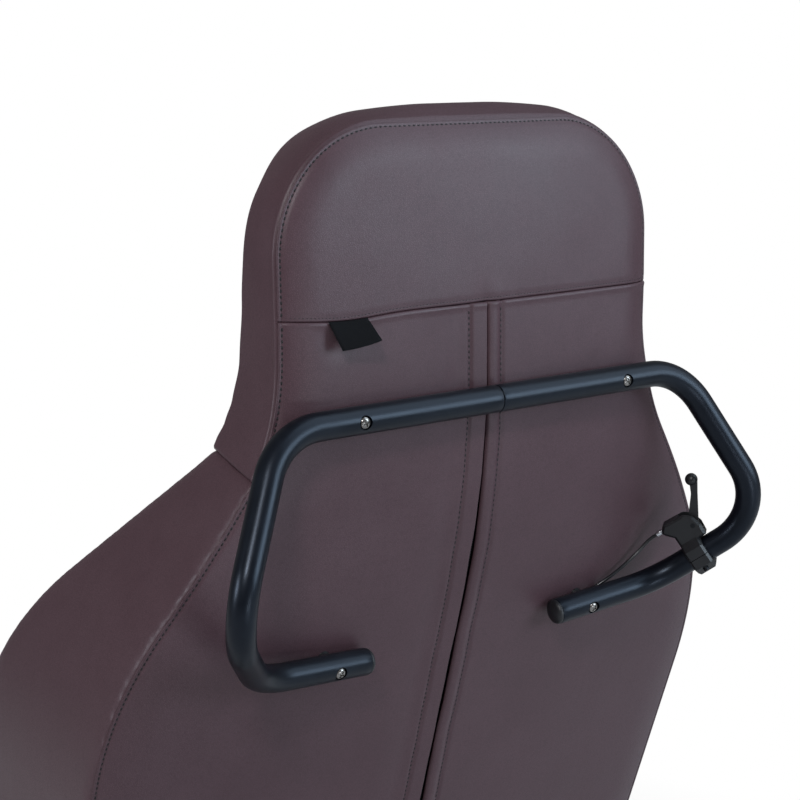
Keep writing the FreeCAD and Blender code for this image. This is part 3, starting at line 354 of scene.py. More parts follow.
def addBox(bm, spot, size):
    bmesh.ops.create_cube(bm, size=1.0, matrix=Matrix.Translation(spot) @ Matrix.Diagonal((*size, 1.0)))


def thicken(piece, thickness):
    wall = piece.modifiers.new("wall", "SOLIDIFY")
    wall.thickness = thickness
    wall.offset = -1.0
    wall.use_even_offset = False


def faceRear(piece):
    if sum(p.normal.y for p in piece.data.polygons) < 0:
        piece.data.flip_normals()


def smoothStep(t):
    t = min(1.0, max(0.0, t))
    return t * t * (3 - 2 * t)


def bell(distance, width):
    return math.exp(-(distance / width) ** 2)


def ridge(distance, height, place, width):
    # a rounded ridge, or a groove where the height is negative
    return height * bell(distance - place, width)


def hem(distance, height, reach):
    # full height at the edge itself, nothing from reach on
    return height * max(0.0, 1 - distance / reach) ** 2


# shape of the back, as in the solids
back = {"headTop": 1.235, "headHalf": 0.211, "headCorner": 0.110, "shoulderZ": 1.045, "shoulderTurn": 33.0,
        "hollow": 0.220, "swell": 0.304, "half": 0.360, "hipTurn": 5.0, "bottom": 0.350, "face": -0.0135,
        "waistZ": 1.005, "headLean": 2.3, "waistBend": 0.75, "recline": 15.7, "crown": 4.0,
        "headSeamZ": 1.076, "seamSplit": 0.0001, "sag": 0.0034, "sagX": 0.150, "sagWide": 0.040,
        "sagTall": 0.030,
        "seamRear": (-0.037, 0.942), "seamFront": (-0.110, 0.957)}
leanBack = math.radians(back["recline"])
turnOut = math.radians(back["shoulderTurn"])
hipIn = math.radians(back["hipTurn"])
bothBends = back["hollow"] + back["swell"]
straightRun = (back["half"] - back["headHalf"] - bothBends * (1 - math.cos(turnOut))) / math.sin(turnOut)
swellZ = back["shoulderZ"] - bothBends * math.sin(turnOut) - straightRun * math.cos(turnOut)
cornerX = back["headHalf"] - back["headCorner"]
cornerZ = back["headTop"] - back["headCorner"]


def backY(z, shift=0.0):
    if z >= back["waistZ"]:
        lean = back["headLean"]
        return barY + back["face"] - lean + math.sqrt((lean - shift) ** 2 - (z - back["waistZ"]) ** 2)
    bend = back["waistBend"] - shift
    knee = back["waistZ"] - bend * math.sin(leanBack)
    y = barY + back["face"] - back["waistBend"]
    y += math.sqrt(bend ** 2 - (max(z, knee) - back["waistZ"]) ** 2)
    return y - max(0.0, knee - z) * math.tan(leanBack)


def crownAt(x):
    return back["crown"] - math.sqrt(back["crown"] ** 2 - x * x)


def halfWidth(z):
    if z > cornerZ:
        rise = min(z - cornerZ, back["headCorner"])
        return cornerX + math.sqrt(back["headCorner"] ** 2 - rise ** 2)
    if z > back["shoulderZ"]:
        return back["headHalf"]
    drop = back["shoulderZ"] - z
    if drop < back["hollow"] * math.sin(turnOut):
        return back["headHalf"] + back["hollow"] - math.sqrt(back["hollow"] ** 2 - drop ** 2)
    up = z - swellZ
    hipDrop = back["swell"] * math.sin(hipIn)
    if up < -hipDrop:
        return back["half"] - back["swell"] * (1 - math.cos(hipIn)) + (up + hipDrop) * math.tan(hipIn)
    if up < back["swell"] * math.sin(turnOut):
        return back["half"] - back["swell"] + math.sqrt(back["swell"] ** 2 - up ** 2)
    top = back["headHalf"] + back["hollow"] * (1 - math.cos(turnOut))
    return top + (drop - back["hollow"] * math.sin(turnOut)) * math.tan(turnOut)


def edgeSlope(z):
    # distance along X for each unit square to the outline
    step = 0.002
    return math.hypot(1.0, (halfWidth(z - step) - halfWidth(z + step)) / (2 * step))


def edgeAway(x, z):
    # distance from the outline, square to it
    side = abs(x)
    if z > cornerZ and side > cornerX:
        return back["headCorner"] - math.hypot(side - cornerX, z - cornerZ)
    if z > cornerZ:
        return back["headTop"] - z
    return (halfWidth(z) - side) / edgeSlope(z)


rollLook = ((0.35, 0.0066, 0.050), (0.86, 0.0070, 0.050), (0.96, 0.0096, 0.042), (1.03, 0.0112, 0.038),
            (1.08, 0.0100, 0.036), (1.16, 0.0086, 0.036), (1.24, 0.0080, 0.034))   # height, fall, width


def edgeRoll(z):
    for (lowZ, lowFall, lowWide), (highZ, highFall, highWide) in zip(rollLook, rollLook[1:]):
        if z <= highZ:
            t = smoothStep((z - lowZ) / (highZ - lowZ))
            return lowFall + (highFall - lowFall) * t, lowWide + (highWide - lowWide) * t
    return rollLook[-1][1:]


seamIn = 0.0032     # stitch line inside the outline
edgeCalm = 0.05     # soft waves die out this near the outline
coverLook = {"flap": 0.0190, "lip": 0.0172, "slitTop": 0.0004, "slitLow": 0.0027, "slitFrom": 1.03,
             "slitRun": 0.20, "ripples": ((1.0, 47.0, 0.0), (0.6, 113.0, 1.0)), "wave": 0.00035,
             "skin": 0.0008, "edgeStitch": (-0.0012, seamIn, 0.0013),
             "crossRidge": (0.0009, 0.0028, 0.0016), "crossHem": (-0.0016, 0.0022),
             "waves": ((0.0008, 0.11, 3.1), (0.0004, 0.045, 7.7)),
             "flapRise": 0.0007, "flapRamp": 0.004, "flapTilt": 0.0016, "flapPull": -0.0011,
             "flapPullWide": 0.0017, "flapDip": (-0.0013, 0.034, 0.010), "flapHem": (-0.0016, 0.0014),
             "lipRise": (0.0025, 0.0078, 0.0068), "lipPull": -0.0019, "lipPullWide": 0.0024,
             "lipHem": (-0.0026, 0.0026), "tagDeep": 0.0020,
             "tagDents": ((1.0, 0.158, 0.012, 1.058, 0.014), (0.5, 0.150, 0.02, 1.062, 0.01))}


def slitHalf(z):
    look = coverLook
    down = smoothStep((look["slitFrom"] - z) / look["slitRun"])
    ripple = sum(share * math.sin(z * often + shift) for share, often, shift in look["ripples"])
    return look["slitTop"] + (look["slitLow"] - look["slitTop"]) * down + look["wave"] * ripple * down


def softWaves(x, z, edge, waves):
    total = sum(height * noise.noise(Vector((x / size, z / size, seed))) for height, size, seed in waves)
    return smoothStep(edge / edgeCalm) * total


def dents(x, z, rows):
    return sum(height * bell(x - atX, wide) * bell(z - atZ, tall) for height, atX, wide, atZ, tall in rows)


def coverLift(x, z):
    look = coverLook
    edge = max(0.0, edgeAway(x, z))
    fall, wide = edgeRoll(z)
    lift = hem(edge, -fall, wide) + ridge(edge, *look["edgeStitch"])
    below = back["headSeamZ"] - z
    lift += ridge(below, *look["crossRidge"]) + hem(below, *look["crossHem"])
    lift += softWaves(x, z, edge, look["waves"])
    run = abs(x) - slitHalf(z)
    if x > 0:
        lift += look["flapRise"] * smoothStep((look["flap"] - run) / look["flapRamp"])
        lift += look["flapTilt"] * max(0.0, 1 - run / look["flap"])
        lift += ridge(run, look["flapPull"], look["flap"], look["flapPullWide"])
        lift += ridge(run, *look["flapDip"]) + hem(run, *look["flapHem"])
    else:
        lift += ridge(run, *look["lipRise"])
        lift += ridge(run, look["lipPull"], look["lip"], look["lipPullWide"])
        lift += hem(run, *look["lipHem"])
    return lift - look["tagDeep"] * dents(x, z, look["tagDents"])


headLook = {"crossHem": (-0.0008, 0.0026), "crossStitch": (-0.0005, 0.0030, 0.0013),
            "waves": ((0.0009, 0.12, 11.4), (0.0004, 0.05, 5.2)),
            "puckers": ((-0.0017, 0.001, 0.006, 0.0, 0.012), (0.0009, -0.010, 0.006, 0.006, 0.012)),
            "steps": 18, "middle": 40, "narrow": 0.15}


def headLift(x, z):
    look = headLook
    edge = max(0.0, edgeAway(x, z))
    fall, wide = edgeRoll(z)
    lift = hem(edge, -fall, wide) + ridge(edge, *coverLook["edgeStitch"])
    above = z - back["headSeamZ"]
    lift += hem(above, *look["crossHem"]) + ridge(above, *look["crossStitch"])
    lift += softWaves(x, z, edge, look["waves"])
    return lift + dents(x, above, look["puckers"])


def rearPoint(x, z, lift):
    # the cross seam hangs a little by the tag
    share = bell(x - back["sagX"], back["sagWide"]) * bell(z - back["headSeamZ"], back["sagTall"])
    z -= back["sag"] * share
    return Vector((x, backY(z, crownAt(x) - lift), z))


def rearNormal(x, z, liftOf):
    h = 0.0006
    along = rearPoint(x + h, z, liftOf(x + h, z)) - rearPoint(x - h, z, liftOf(x - h, z))
    up = rearPoint(x, z + h, liftOf(x, z + h)) - rearPoint(x, z - h, liftOf(x, z - h))
    out = up.cross(along).normalized()
    return out if out.y > 0 else -out


def gridPiece(columns, rows):
    # grid of quads whose vertices carry their row and column
    bm = bmesh.new()
    bmesh.ops.create_grid(bm, x_segments=columns - 1, y_segments=rows - 1, size=1.0)
    spots = []
    for v in bm.verts:
        spots.append((v, round((v.co.x + 1) / 2 * (columns - 1)), round((v.co.y + 1) / 2 * (rows - 1))))
    return bm, spots


slitColumns = [0, 0.0005, 0.0011, 0.0018, 0.0027, 0.004, 0.0058, 0.0078, 0.010, 0.012, 0.0136, 0.015,
               0.0164, 0.018, 0.0195, 0.021, 0.0225, 0.024, 0.0258, 0.029, 0.034, 0.040]
edgeColumns = [0.052, 0.043, 0.035, 0.028, 0.022, 0.017, 0.0128, 0.0094, 0.0068, 0.005, 0.0038, 0.0028,
               0.0018, 0.0008, 0]
middleColumns = 20
seamRows = [0, 0.001, 0.0022, 0.0038, 0.006, 0.009, 0.013]
coverSteps = 96


def coverRows():
    low = back["bottom"]
    high = back["headSeamZ"] - back["seamSplit"]
    run = [low + (high - seamRows[-1] - low) * i / coverSteps for i in range(coverSteps + 1)]
    return run + [high - d for d in reversed(seamRows[:-1])]


def coverColumn(column, z):
    edge = halfWidth(z)
    first = len(slitColumns)
    slope = edgeSlope(z)
    if column < first:
        return slitHalf(z) + slitColumns[column]
    if column >= first + middleColumns - 1:
        return edge - edgeColumns[column - first - middleColumns + 1] * slope
    start = slitHalf(z) + slitColumns[-1]
    end = edge - edgeColumns[0] * slope
    return start + (end - start) * (column - first + 1) / middleColumns


for side, name in ((1, "left"), (-1, "right")):
    rows = coverRows()
    count = len(slitColumns) + middleColumns + len(edgeColumns) - 1
    bm, spots = gridPiece(count, len(rows))
    for v, column, row in spots:
        z = rows[row]
        x = side * coverColumn(column, z)
        v.co = rearPoint(x, z, coverLift(x, z))
    piece = keepPiece("rearCover_" + name, bm, vinylSkin, "shell", ["rear_cover_" + name])
    faceRear(piece)
    thicken(piece, coverLook["skin"])
print("rear covers ready")

# head cover above the cross seam
topRows = [0, 0.0003, 0.0008, 0.0015, 0.0026, 0.004, 0.0058, 0.008, 0.0108, 0.014, 0.018, 0.0225, 0.0275,
           0.033]
headLow = back["headSeamZ"] + back["seamSplit"]
headRows = [headLow + d for d in seamRows]
runLow, runHigh = headRows[-1], back["headTop"] - topRows[-1]
headRows += [runLow + (runHigh - runLow) * i / headLook["steps"] for i in range(1, headLook["steps"])]
headRows += [back["headTop"] - d for d in reversed(topRows)]
headColumns = edgeColumns[::-1]
last = 2 * len(headColumns) + headLook["middle"] - 2
bm, spots = gridPiece(last + 1, len(headRows))
for v, column, row in spots:
    z = headRows[row]
    edge = halfWidth(z)
    squeeze = min(1.0, edge / headLook["narrow"])
    if column < len(headColumns):
        x = -edge + headColumns[column] * squeeze
    elif last - column < len(headColumns):
        x = edge - headColumns[last - column] * squeeze
    else:
        span = edge - headColumns[-1] * squeeze
        x = -span + 2 * span * (column - len(headColumns) + 1) / headLook["middle"]
    v.co = rearPoint(x, z, headLift(x, z))
headPiece = keepPiece("headCover", bm, vinylSkin, "shell", ["head_cover"])
faceRear(headPiece)
thicken(headPiece, coverLook["skin"])
print("head cover ready")

# gusset band round the head
gussetLook = {"bulge": 0.0022, "topBulge": 0.0140, "topFrom": 0.20, "topRun": 0.17, "fullness": 0.8,
              "roll": 0.0034, "tuck": 0.0026, "wrap": 0.010, "wrapBack": 0.0035, "skin": 0.003, "rows": 190,
              "span": 0.062, "inner": 8, "under": 0.0004, "guess": 0.02, "turns": 5, "endGap": 0.0002,
              "endRun": 0.46, "endHem": (-0.0022, 0.004), "seamRidge": (0.0009, 0.0034, 0.0015),
              "wave": 0.0005, "waveLong": 0.06, "waveAcross": 1.3, "waveSeed": 2.3,
              "front": ((0.940, -0.121), (0.963, -0.110), (0.982, -0.1035), (1.000, -0.099),
                        (1.035, -0.0935), (1.087, -0.0885), (1.140, -0.0835), (1.180, -0.0850),
                        (1.228, -0.094), (1.250, -0.096))}
gussetColumns = [0, 0.0005, 0.0011, 0.0019, 0.003, 0.0045, 0.007, 0.011]
wrapColumns = [1.15, 1.35, 1.6, 2.0]
endRows = [0, 0.0012, 0.0026, 0.0042, 0.0066]
outlineRuns = [cornerX, back["headCorner"] * math.pi / 2, cornerZ - back["shoulderZ"],
               back["hollow"] * turnOut]


def outlineAt(s):
    # point and outward direction, from the middle of the head's top down one side
    if s < outlineRuns[0]:
        return s, back["headTop"], 0.0, 1.0
    s -= outlineRuns[0]
    if s < outlineRuns[1]:
        a = s / back["headCorner"]
        return (cornerX + back["headCorner"] * math.sin(a), cornerZ + back["headCorner"] * math.cos(a),
                math.sin(a), math.cos(a))
    s -= outlineRuns[1]
    if s < outlineRuns[2]:
        return back["headHalf"], cornerZ - s, 1.0, 0.0
    a = (s - outlineRuns[2]) / back["hollow"]
    middle = back["headHalf"] + back["hollow"]
    return (middle - back["hollow"] * math.cos(a), back["shoulderZ"] - back["hollow"] * math.sin(a),
            math.cos(a), math.sin(a))


def gussetEnd(y):
    rear, front = back["seamRear"], back["seamFront"]
    slant = (front[1] - rear[1]) * (y - barY - rear[0]) / (front[0] - rear[0])
    z = rear[1] + slant + gussetLook["endGap"]
    return sum(outlineRuns[:3]) + back["hollow"] * math.asin((back["shoulderZ"] - z) / back["hollow"])


def gussetFront(z):
    stops = gussetLook["front"]
    for (lowZ, lowY), (highZ, highY) in zip(stops, stops[1:]):
        if z <= highZ:
            return barY + lowY + (highY - lowY) * smoothStep((z - lowZ) / (highZ - lowZ))
    return barY + stops[-1][1]


def gussetPoint(share, away):
    # share runs from one lower end over the head to the other
    # away runs from 0 at the rear seam to 1 at the front
    look = gussetLook
    s = abs(share) * (sum(outlineRuns) - look["guess"])
    for again in range(look["turns"]):
        x, z, nx, nz = outlineAt(s)
        rear = backY(z, crownAt(x) + edgeRoll(z)[0] + look["under"])
        y = rear + (gussetFront(z) - rear) * min(1.0, away)
        s = abs(share) * gussetEnd(y)
    x, z, nx, nz = outlineAt(s)
    depth = rear - gussetFront(z)
    nearest = min(away, max(0.0, 1 - away)) * depth
    ends = (1 - abs(share)) * gussetEnd(y)
    top = smoothStep((look["topFrom"] - s) / look["topRun"])
    bulge = look["bulge"] + (look["topBulge"] - look["bulge"]) * top
    out = bulge * math.sin(math.pi * min(1.0, away)) ** look["fullness"]
    out += hem(nearest, -look["tuck"], look["roll"]) + hem(ends, *look["endHem"])
    ripple = noise.noise(Vector((s / look["waveLong"], away * look["waveAcross"], look["waveSeed"])))
    out += look["wave"] * ripple + ridge(away * depth, *look["seamRidge"])
    if away > 1:
        out -= look["wrap"] * (away - 1)
        y -= look["wrapBack"] * math.sin(min(1.0, away - 1) * math.pi / 2)
    return Vector((math.copysign(x + nx * out, share), y, z + nz * out))


span = gussetLook["span"]
rim = gussetColumns[-1]
inner = [rim + (span - 2 * rim) * i / gussetLook["inner"] for i in range(1, gussetLook["inner"])]
far = [span - d for d in reversed(gussetColumns)]
gussetAway = [d / span for d in gussetColumns + inner + far] + wrapColumns
half = gussetLook["rows"] // 2
shares = [1 - d / gussetLook["endRun"] for d in endRows]
shares += [shares[-1] * (1 - i / half) for i in range(1, half + 1)]
shares = shares + [-s for s in reversed(shares[:-1])]
bm, spots = gridPiece(len(gussetAway), len(shares))
for v, column, row in spots:
    v.co = gussetPoint(shares[row], gussetAway[column])
gusset = keepPiece("headGusset", bm, vinylSkin, "shell", ["head_border"])
topFace = max(gusset.data.polygons, key=lambda p: p.center.z)
if topFace.normal.z < 0:
    gusset.data.flip_normals()
2 * sum(outlineRuns) + 0.02
thicken(gusset, gussetLook["skin"])
print("gusset ready")


# stitch rows
stitchLook = {"pitch": 0.0050, "length": 0.0038, "width": 0.0021, "height": 0.0012}
crossStitch = dict(stitchLook, pitch=0.0036, length=0.0022, width=0.0007)
rowLook = {"headPoints": 240, "headShort": 0.003, "edgeStep": 0.004, "zipStep": 0.006, "stop": 0.004,
           "crossIn": 0.004, "crossUp": 0.0030, "crossPoints": 100}


def stitchRow(bm, path, look):
    # path: list of (point, normal), close together
    travelled = 0.0
    due = look["pitch"] / 2
    for (a, normalA), (b, normalB) in zip(path, path[1:]):
        step = (b - a).length
        while due <= travelled + step:
            t = (due - travelled) / step
            along = (b - a).normalized()
            out = normalA.lerp(normalB, t).normalized()
            across = out.cross(along).normalized()
            turn = Matrix((along, across, along.cross(across))).transposed().to_4x4()
            size = Matrix.Diagonal((look["length"] / 2, look["width"] / 2, look["height"] / 2, 1.0))
            bmesh.ops.create_icosphere(bm, subdivisions=1, radius=1.0,
                                       matrix=Matrix.Translation(a.lerp(b, t)) @ turn @ size)
            due += look["pitch"]
        travelled += step


def edgeInset(s, inset, side):
    # a point inside the outline at path length s
    x, z, nx, nz = outlineAt(s)
    return side * (x - nx * inset), z - nz * inset


def heightsDown(step):
    z = back["headSeamZ"] - step
    while z > back["bottom"] + rowLook["stop"]:
        yield z
        z -= step


def skinPath(spots, liftOf):
    # points and normals on the covers
    return [(rearPoint(x, z, liftOf(x, z)), rearNormal(x, z, liftOf)) for x, z in spots]


bm = bmesh.new()
headRun = sum(outlineRuns[:2]) + (cornerZ - back["headSeamZ"]) - rowLook["headShort"]
count = rowLook["headPoints"]
spots = [edgeInset(abs(i) / count * headRun, seamIn, 1 if i >= 0 else -1) for i in range(-count, count + 1)]
stitchRow(bm, skinPath(spots, headLift), stitchLook)
for side in (1, -1):
    spots = [(side * (halfWidth(z) - seamIn * edgeSlope(z)), z) for z in heightsDown(rowLook["edgeStep"])]
    stitchRow(bm, skinPath(spots, coverLift), stitchLook)
    away = coverLook["flap"] if side > 0 else coverLook["lip"]
    spots = [(side * (slitHalf(z) + away), z) for z in heightsDown(rowLook["zipStep"])]
    stitchRow(bm, skinPath(spots, coverLift), stitchLook)
count = rowLook["crossPoints"]
crossFrom = -back["headHalf"] + rowLook["crossIn"]
crossLong = 2 * back["headHalf"] - 2 * rowLook["crossIn"]
crossZ = back["headSeamZ"] + rowLook["crossUp"]
spots = [(crossFrom + crossLong * i / count, crossZ) for i in range(count + 1)]
stitchRow(bm, skinPath(spots, headLift), crossStitch)
keepPiece("rearStitches", bm, seamThread, "shell")
print("stitches ready")

# plain ribbon tag sewn into the head seam
tagLook = {"from": 0.1690, "to": 0.1300, "length": 0.027, "tiltLeft": 24.0, "tiltRight": 50.0,
           "skew": 0.006, "columns": 13, "rows": 15, "clear": 0.0006, "rootRun": 0.006,
           "rootShare": 0.35, "belly": 0.0004,
           "thick": 0.0007}
bm, spots = gridPiece(tagLook["columns"], tagLook["rows"])
for v, column, row in spots:
    across = column / (tagLook["columns"] - 1)
    down = row / (tagLook["rows"] - 1)
    run = tagLook["length"] * down
    tilt = math.radians(tagLook["tiltLeft"] + (tagLook["tiltRight"] - tagLook["tiltLeft"]) * across)
    x = tagLook["from"] + (tagLook["to"] - tagLook["from"]) * across
    x -= tagLook["skew"] * (1 - across) * down
    root = tagLook["rootShare"] + (1 - tagLook["rootShare"]) * smoothStep(run / tagLook["rootRun"])
    belly = tagLook["belly"] * math.sin(math.pi * across) * down
    out = tagLook["clear"] + run * math.sin(tilt) * root + belly
    v.co = rearPoint(x, back["headSeamZ"] - run * math.cos(tilt), 0.0) + Vector((0, out, 0))
tag = keepPiece("seamTag", bm, ribbonSatin, "shell")
thicken(tag, tagLook["thick"])
print("tag ready")

# zip under the slit: coil teeth on the tape
zipLook = {"pitch": 0.0026, "depth": -0.0046, "tooth": (0.0030, 0.0016, 0.0012), "off": 0.0011,
           "lowEnd": 0.01, "topEnd": 0.008}
bm = bmesh.new()
z = back["bottom"] + zipLook["lowEnd"]
flip = 1
while z < back["headSeamZ"] - zipLook["topEnd"]:
    spot = rearPoint(flip * zipLook["off"], z, zipLook["depth"])
    addBox(bm, spot, zipLook["tooth"])
    flip = -flip
    z += zipLook["pitch"] / 2
keepPiece("zipTeeth", bm, blackNylon, "shell", smooth=False)
print("zip ready")

# push handle: two bent tubes that meet behind the middle of the back
handleLook = {"radius": 0.0125, "sides": 48, "bendSteps": 20, "runStep": 0.008, "split": 0.00025,
              "bends": (0.065, 0.058, 0.070),
              "corners": ((0.232, 0.0, 0.990), (0.310, 0.053, 0.846), (0.237, -0.030, 0.768),
                          (0.116, -0.042, 0.756)),
              "rim": 0.0008, "hole": 0.0064, "holeDeep": 0.010, "screwX": 0.152, "sharp": 40.0}
cornerTurn = 1.2   # edges that turn by more than this are bevelled


def facing(axis):
    return axis.to_track_quat("Z", "X").to_matrix().to_4x4()


def bentTube(bm, route, look):
    bends = look["bends"]
    heading = (route[1] - route[0]).normalized()
    bmesh.ops.create_circle(bm, cap_ends=False, segments=look["sides"], radius=look["radius"],
                            matrix=Matrix.Translation(route[0]) @ facing(heading))
    ring = list(bm.edges)
    at = route[0]
    for i in range(1, len(route)):
        heading = (route[i] - route[i - 1]).normalized()
        stop = route[i]
        if i < len(route) - 1:
            leaving = (route[i + 1] - route[i]).normalized()
            angle = heading.angle(leaving)
            stop = route[i] - heading * bends[i - 1] * math.tan(angle / 2)
        count = max(1, round((stop - at).length / look["runStep"]))
        for step in range(count):
            grown = bmesh.ops.extrude_edge_only(bm, edges=ring)["geom"]
            moved = {g for g in grown if isinstance(g, bmesh.types.BMVert)}
            bmesh.ops.translate(bm, verts=list(moved), vec=(stop - at) / count)
            ring = [g for g in grown if isinstance(g, bmesh.types.BMEdge) and moved.issuperset(g.verts)]
        at = stop
        if i < len(route) - 1:
            axis = heading.cross(leaving).normalized()
            centre = stop + axis.cross(heading) * bends[i - 1]
            turned = bmesh.ops.spin(bm, geom=ring, cent=centre, axis=axis, angle=angle,
                                    steps=look["bendSteps"], use_duplicate=False)
            ring = [g for g in turned["geom_last"] if isinstance(g, bmesh.types.BMEdge)]
            at = route[i] + leaving * bends[i - 1] * math.tan(angle / 2)


def handleCorners(side):
    return [Vector((side * x, y + barY, z)) for x, y, z in handleLook["corners"]]


def handleFixings():
    # places and outward axes of the four screws
    corners = handleCorners(1)
    share = (corners[2].x - handleLook["screwX"]) / (corners[2].x - corners[3].x)
    low = corners[2].lerp(corners[3], share)
    lowAxis = Vector((0, math.cos(leanBack), -math.sin(leanBack)))
    spots = []
    for side in (1, -1):
        spots.append((Vector((side * handleLook["screwX"], barY, barZ)), Vector((0, 1, 0))))
        spots.append((Vector((side * low.x, low.y, low.z)), lowAxis))
    return spots


def cutOut(target, cutterBm):
    # boolean cut, applied to the piece's mesh
    data = bpy.data.meshes.new("cutter")
    bmesh.ops.recalc_face_normals(cutterBm, faces=cutterBm.faces)
    cutterBm.to_mesh(data)
    cutterBm.free()
    cutter = addObject("cutter", data)
    cut = target.modifiers.new("cut", "BOOLEAN")
    cut.operation = "DIFFERENCE"
    cut.solver = "EXACT"
    cut.object = cutter
    graph = bpy.context.evaluated_depsgraph_get()
    graph.update()
    result = bpy.data.meshes.new_from_object(target.evaluated_get(graph))
    target.modifiers.remove(cut)
    old = target.data
    target.data = result
    bpy.data.objects.remove(cutter)
    bpy.data.meshes.remove(old)
    bpy.data.meshes.remove(data)


for side, name in ((1, "left"), (-1, "right")):
    route = [Vector((side * handleLook["split"], barY, barZ))] + handleCorners(side)
    bm = bmesh.new()
    bentTube(bm, route, handleLook)
    bmesh.ops.holes_fill(bm, edges=[e for e in bm.edges if e.is_boundary], sides=0)
    rims = [e for e in bm.edges if len(e.link_faces) == 2 and e.calc_face_angle(0.0) > cornerTurn]
    bmesh.ops.bevel(bm, geom=rims, offset=handleLook["rim"], offset_type="OFFSET", segments=3, profile=0.5,
                    affect="EDGES", material=-1)
    piece = keepPiece("pushHandle_" + name, bm, handlePowder, "shell",
                      ["push_handle_" + name])
    holes = bmesh.new()
    for spot, axis in handleFixings():
        if spot.x * side > 0:
            middle = Matrix.Translation(spot + axis * handleLook["radius"])
            bmesh.ops.create_cone(holes, cap_ends=True, segments=40, radius1=handleLook["hole"],
                                  radius2=handleLook["hole"], depth=handleLook["holeDeep"],
                                  matrix=middle @ facing(axis))
    cutOut(piece, holes)
    piece.data.set_sharp_from_angle(angle=math.radians(handleLook["sharp"]))
print("push handle ready")


def spunOutline(bm, outline, steps):
    # radius and height pairs turned round the Z axis
    verts = [bm.verts.new((r, 0, h)) for r, h in outline]
    edges = [bm.edges.new(pair) for pair in zip(verts, verts[1:])]
    bmesh.ops.spin(bm, geom=verts + edges, cent=(0, 0, 0), axis=(0, 0, 1), angle=2 * math.pi, steps=steps,
                   use_merge=True)


def placeFrom(bm, start, spot, turn):
    # moves every vertex made since start
    bm.verts.ensure_lookup_table()
    bmesh.ops.transform(bm, matrix=Matrix.Translation(spot) @ turn, verts=bm.verts[start:])


weldReach = 1e-6

# crosshead pan screws in the oversize holes
screwLook = {"radius": 0.0054, "seat": 0.0094, "rise": 0.0034, "slot": 0.0016, "reach": 0.0034,
             "cut": 0.004, "above": 0.0006, "twist": 0.3, "twistStep": 0.8, "sharp": 35.0,
             "profile": ((0.0, 0.0), (1.0, 0.0), (1.0, 0.22), (0.93, 0.55), (0.72, 0.84), (0.40, 0.97),
                         (0.0, 1.0))}
bm = bmesh.new()
spunOutline(bm, [(r * screwLook["radius"], h * screwLook["rise"]) for r, h in screwLook["profile"]], 36)
bmesh.ops.remove_doubles(bm, verts=bm.verts, dist=weldReach)
screws = keepPiece("handleScrews", bm, screwSteel, "shell", ["handle_screws"])
for quarter in (0, math.pi / 2):
    cross = bmesh.new()
    size = Matrix.Diagonal((2 * screwLook["reach"], screwLook["slot"], screwLook["cut"], 1.0))
    lift = Matrix.Translation((0, 0, screwLook["rise"] + screwLook["above"]))
    bmesh.ops.create_cube(cross, size=1.0, matrix=lift @ Matrix.Rotation(quarter, 4, "Z") @ size)
    cutOut(screws, cross)
bm = bmesh.new()
twist = screwLook["twist"]
for spot, axis in handleFixings():
    start = len(bm.verts)
    bm.from_mesh(screws.data)
    placeFrom(bm, start, spot + axis * screwLook["seat"], facing(axis) @ Matrix.Rotation(twist, 4, "Z"))
    twist += screwLook["twistStep"]
bm.to_mesh(screws.data)
bm.free()
screws.data.set_sharp_from_angle(angle=math.radians(screwLook["sharp"]))
print("screws ready")

# spacers between the panel and the tube
spacerLook = {"foot": 0.0062, "neck": 0.0058, "footHeight": 0.0018, "taper": 0.0012, "sunk": 0.0010,
              "intoTube": 0.0060, "search": 0.0005, "sharp": 40.0}
bm = bmesh.new()
for spot, axis in handleFixings():
    reach = 0.0
    foot = spot
    while foot.y > backY(foot.z, crownAt(foot.x) - coverLift(foot.x, foot.z)):
        reach += spacerLook["search"]
        foot = spot - axis * reach
    tall = reach + spacerLook["sunk"] - spacerLook["intoTube"]
    outline = [(0.0, 0.0), (spacerLook["foot"], 0.0), (spacerLook["foot"], spacerLook["footHeight"]),
               (spacerLook["neck"], spacerLook["footHeight"] + spacerLook["taper"]),
               (spacerLook["neck"], tall), (0.0, tall)]
    start = len(bm.verts)
    spunOutline(bm, outline, 32)
    placeFrom(bm, start, foot - axis * spacerLook["sunk"], facing(axis))
bmesh.ops.remove_doubles(bm, verts=bm.verts, dist=weldReach)
spacers = keepPiece("handleSpacers", bm, blackNylon, "shell", ["handle_spacers"])
spacers.data.set_sharp_from_angle(angle=math.radians(spacerLook["sharp"]))
print("spacers ready")

# domed plugs in the tube's lower ends
plugLook = {"lip": 0.0122, "rise": 0.0052, "edge": 0.0012, "rings": 7, "gap": 0.0001, "sharp": 50.0}
bm = bmesh.new()
for side in (1, -1):
    before, tip = handleCorners(side)[2:]
    axis = (tip - before).normalized()
    outline = [(0.0, 0.0), (plugLook["lip"], 0.0), (plugLook["lip"], plugLook["edge"])]
    for i in range(1, plugLook["rings"] + 1):
        a = i / plugLook["rings"] * math.pi / 2
        outline.append((plugLook["lip"] * math.cos(a), plugLook["edge"] + plugLook["rise"] * math.sin(a)))
    start = len(bm.verts)
    spunOutline(bm, outline, 40)
    placeFrom(bm, start, tip + axis * plugLook["gap"], facing(axis))
bmesh.ops.remove_doubles(bm, verts=bm.verts, dist=weldReach)
plugs = keepPiece("handlePlugs", bm, blackNylon, "shell", ["handle_end_caps"])
plugs.data.set_sharp_from_angle(angle=math.radians(plugLook["sharp"]))
print("plugs ready")


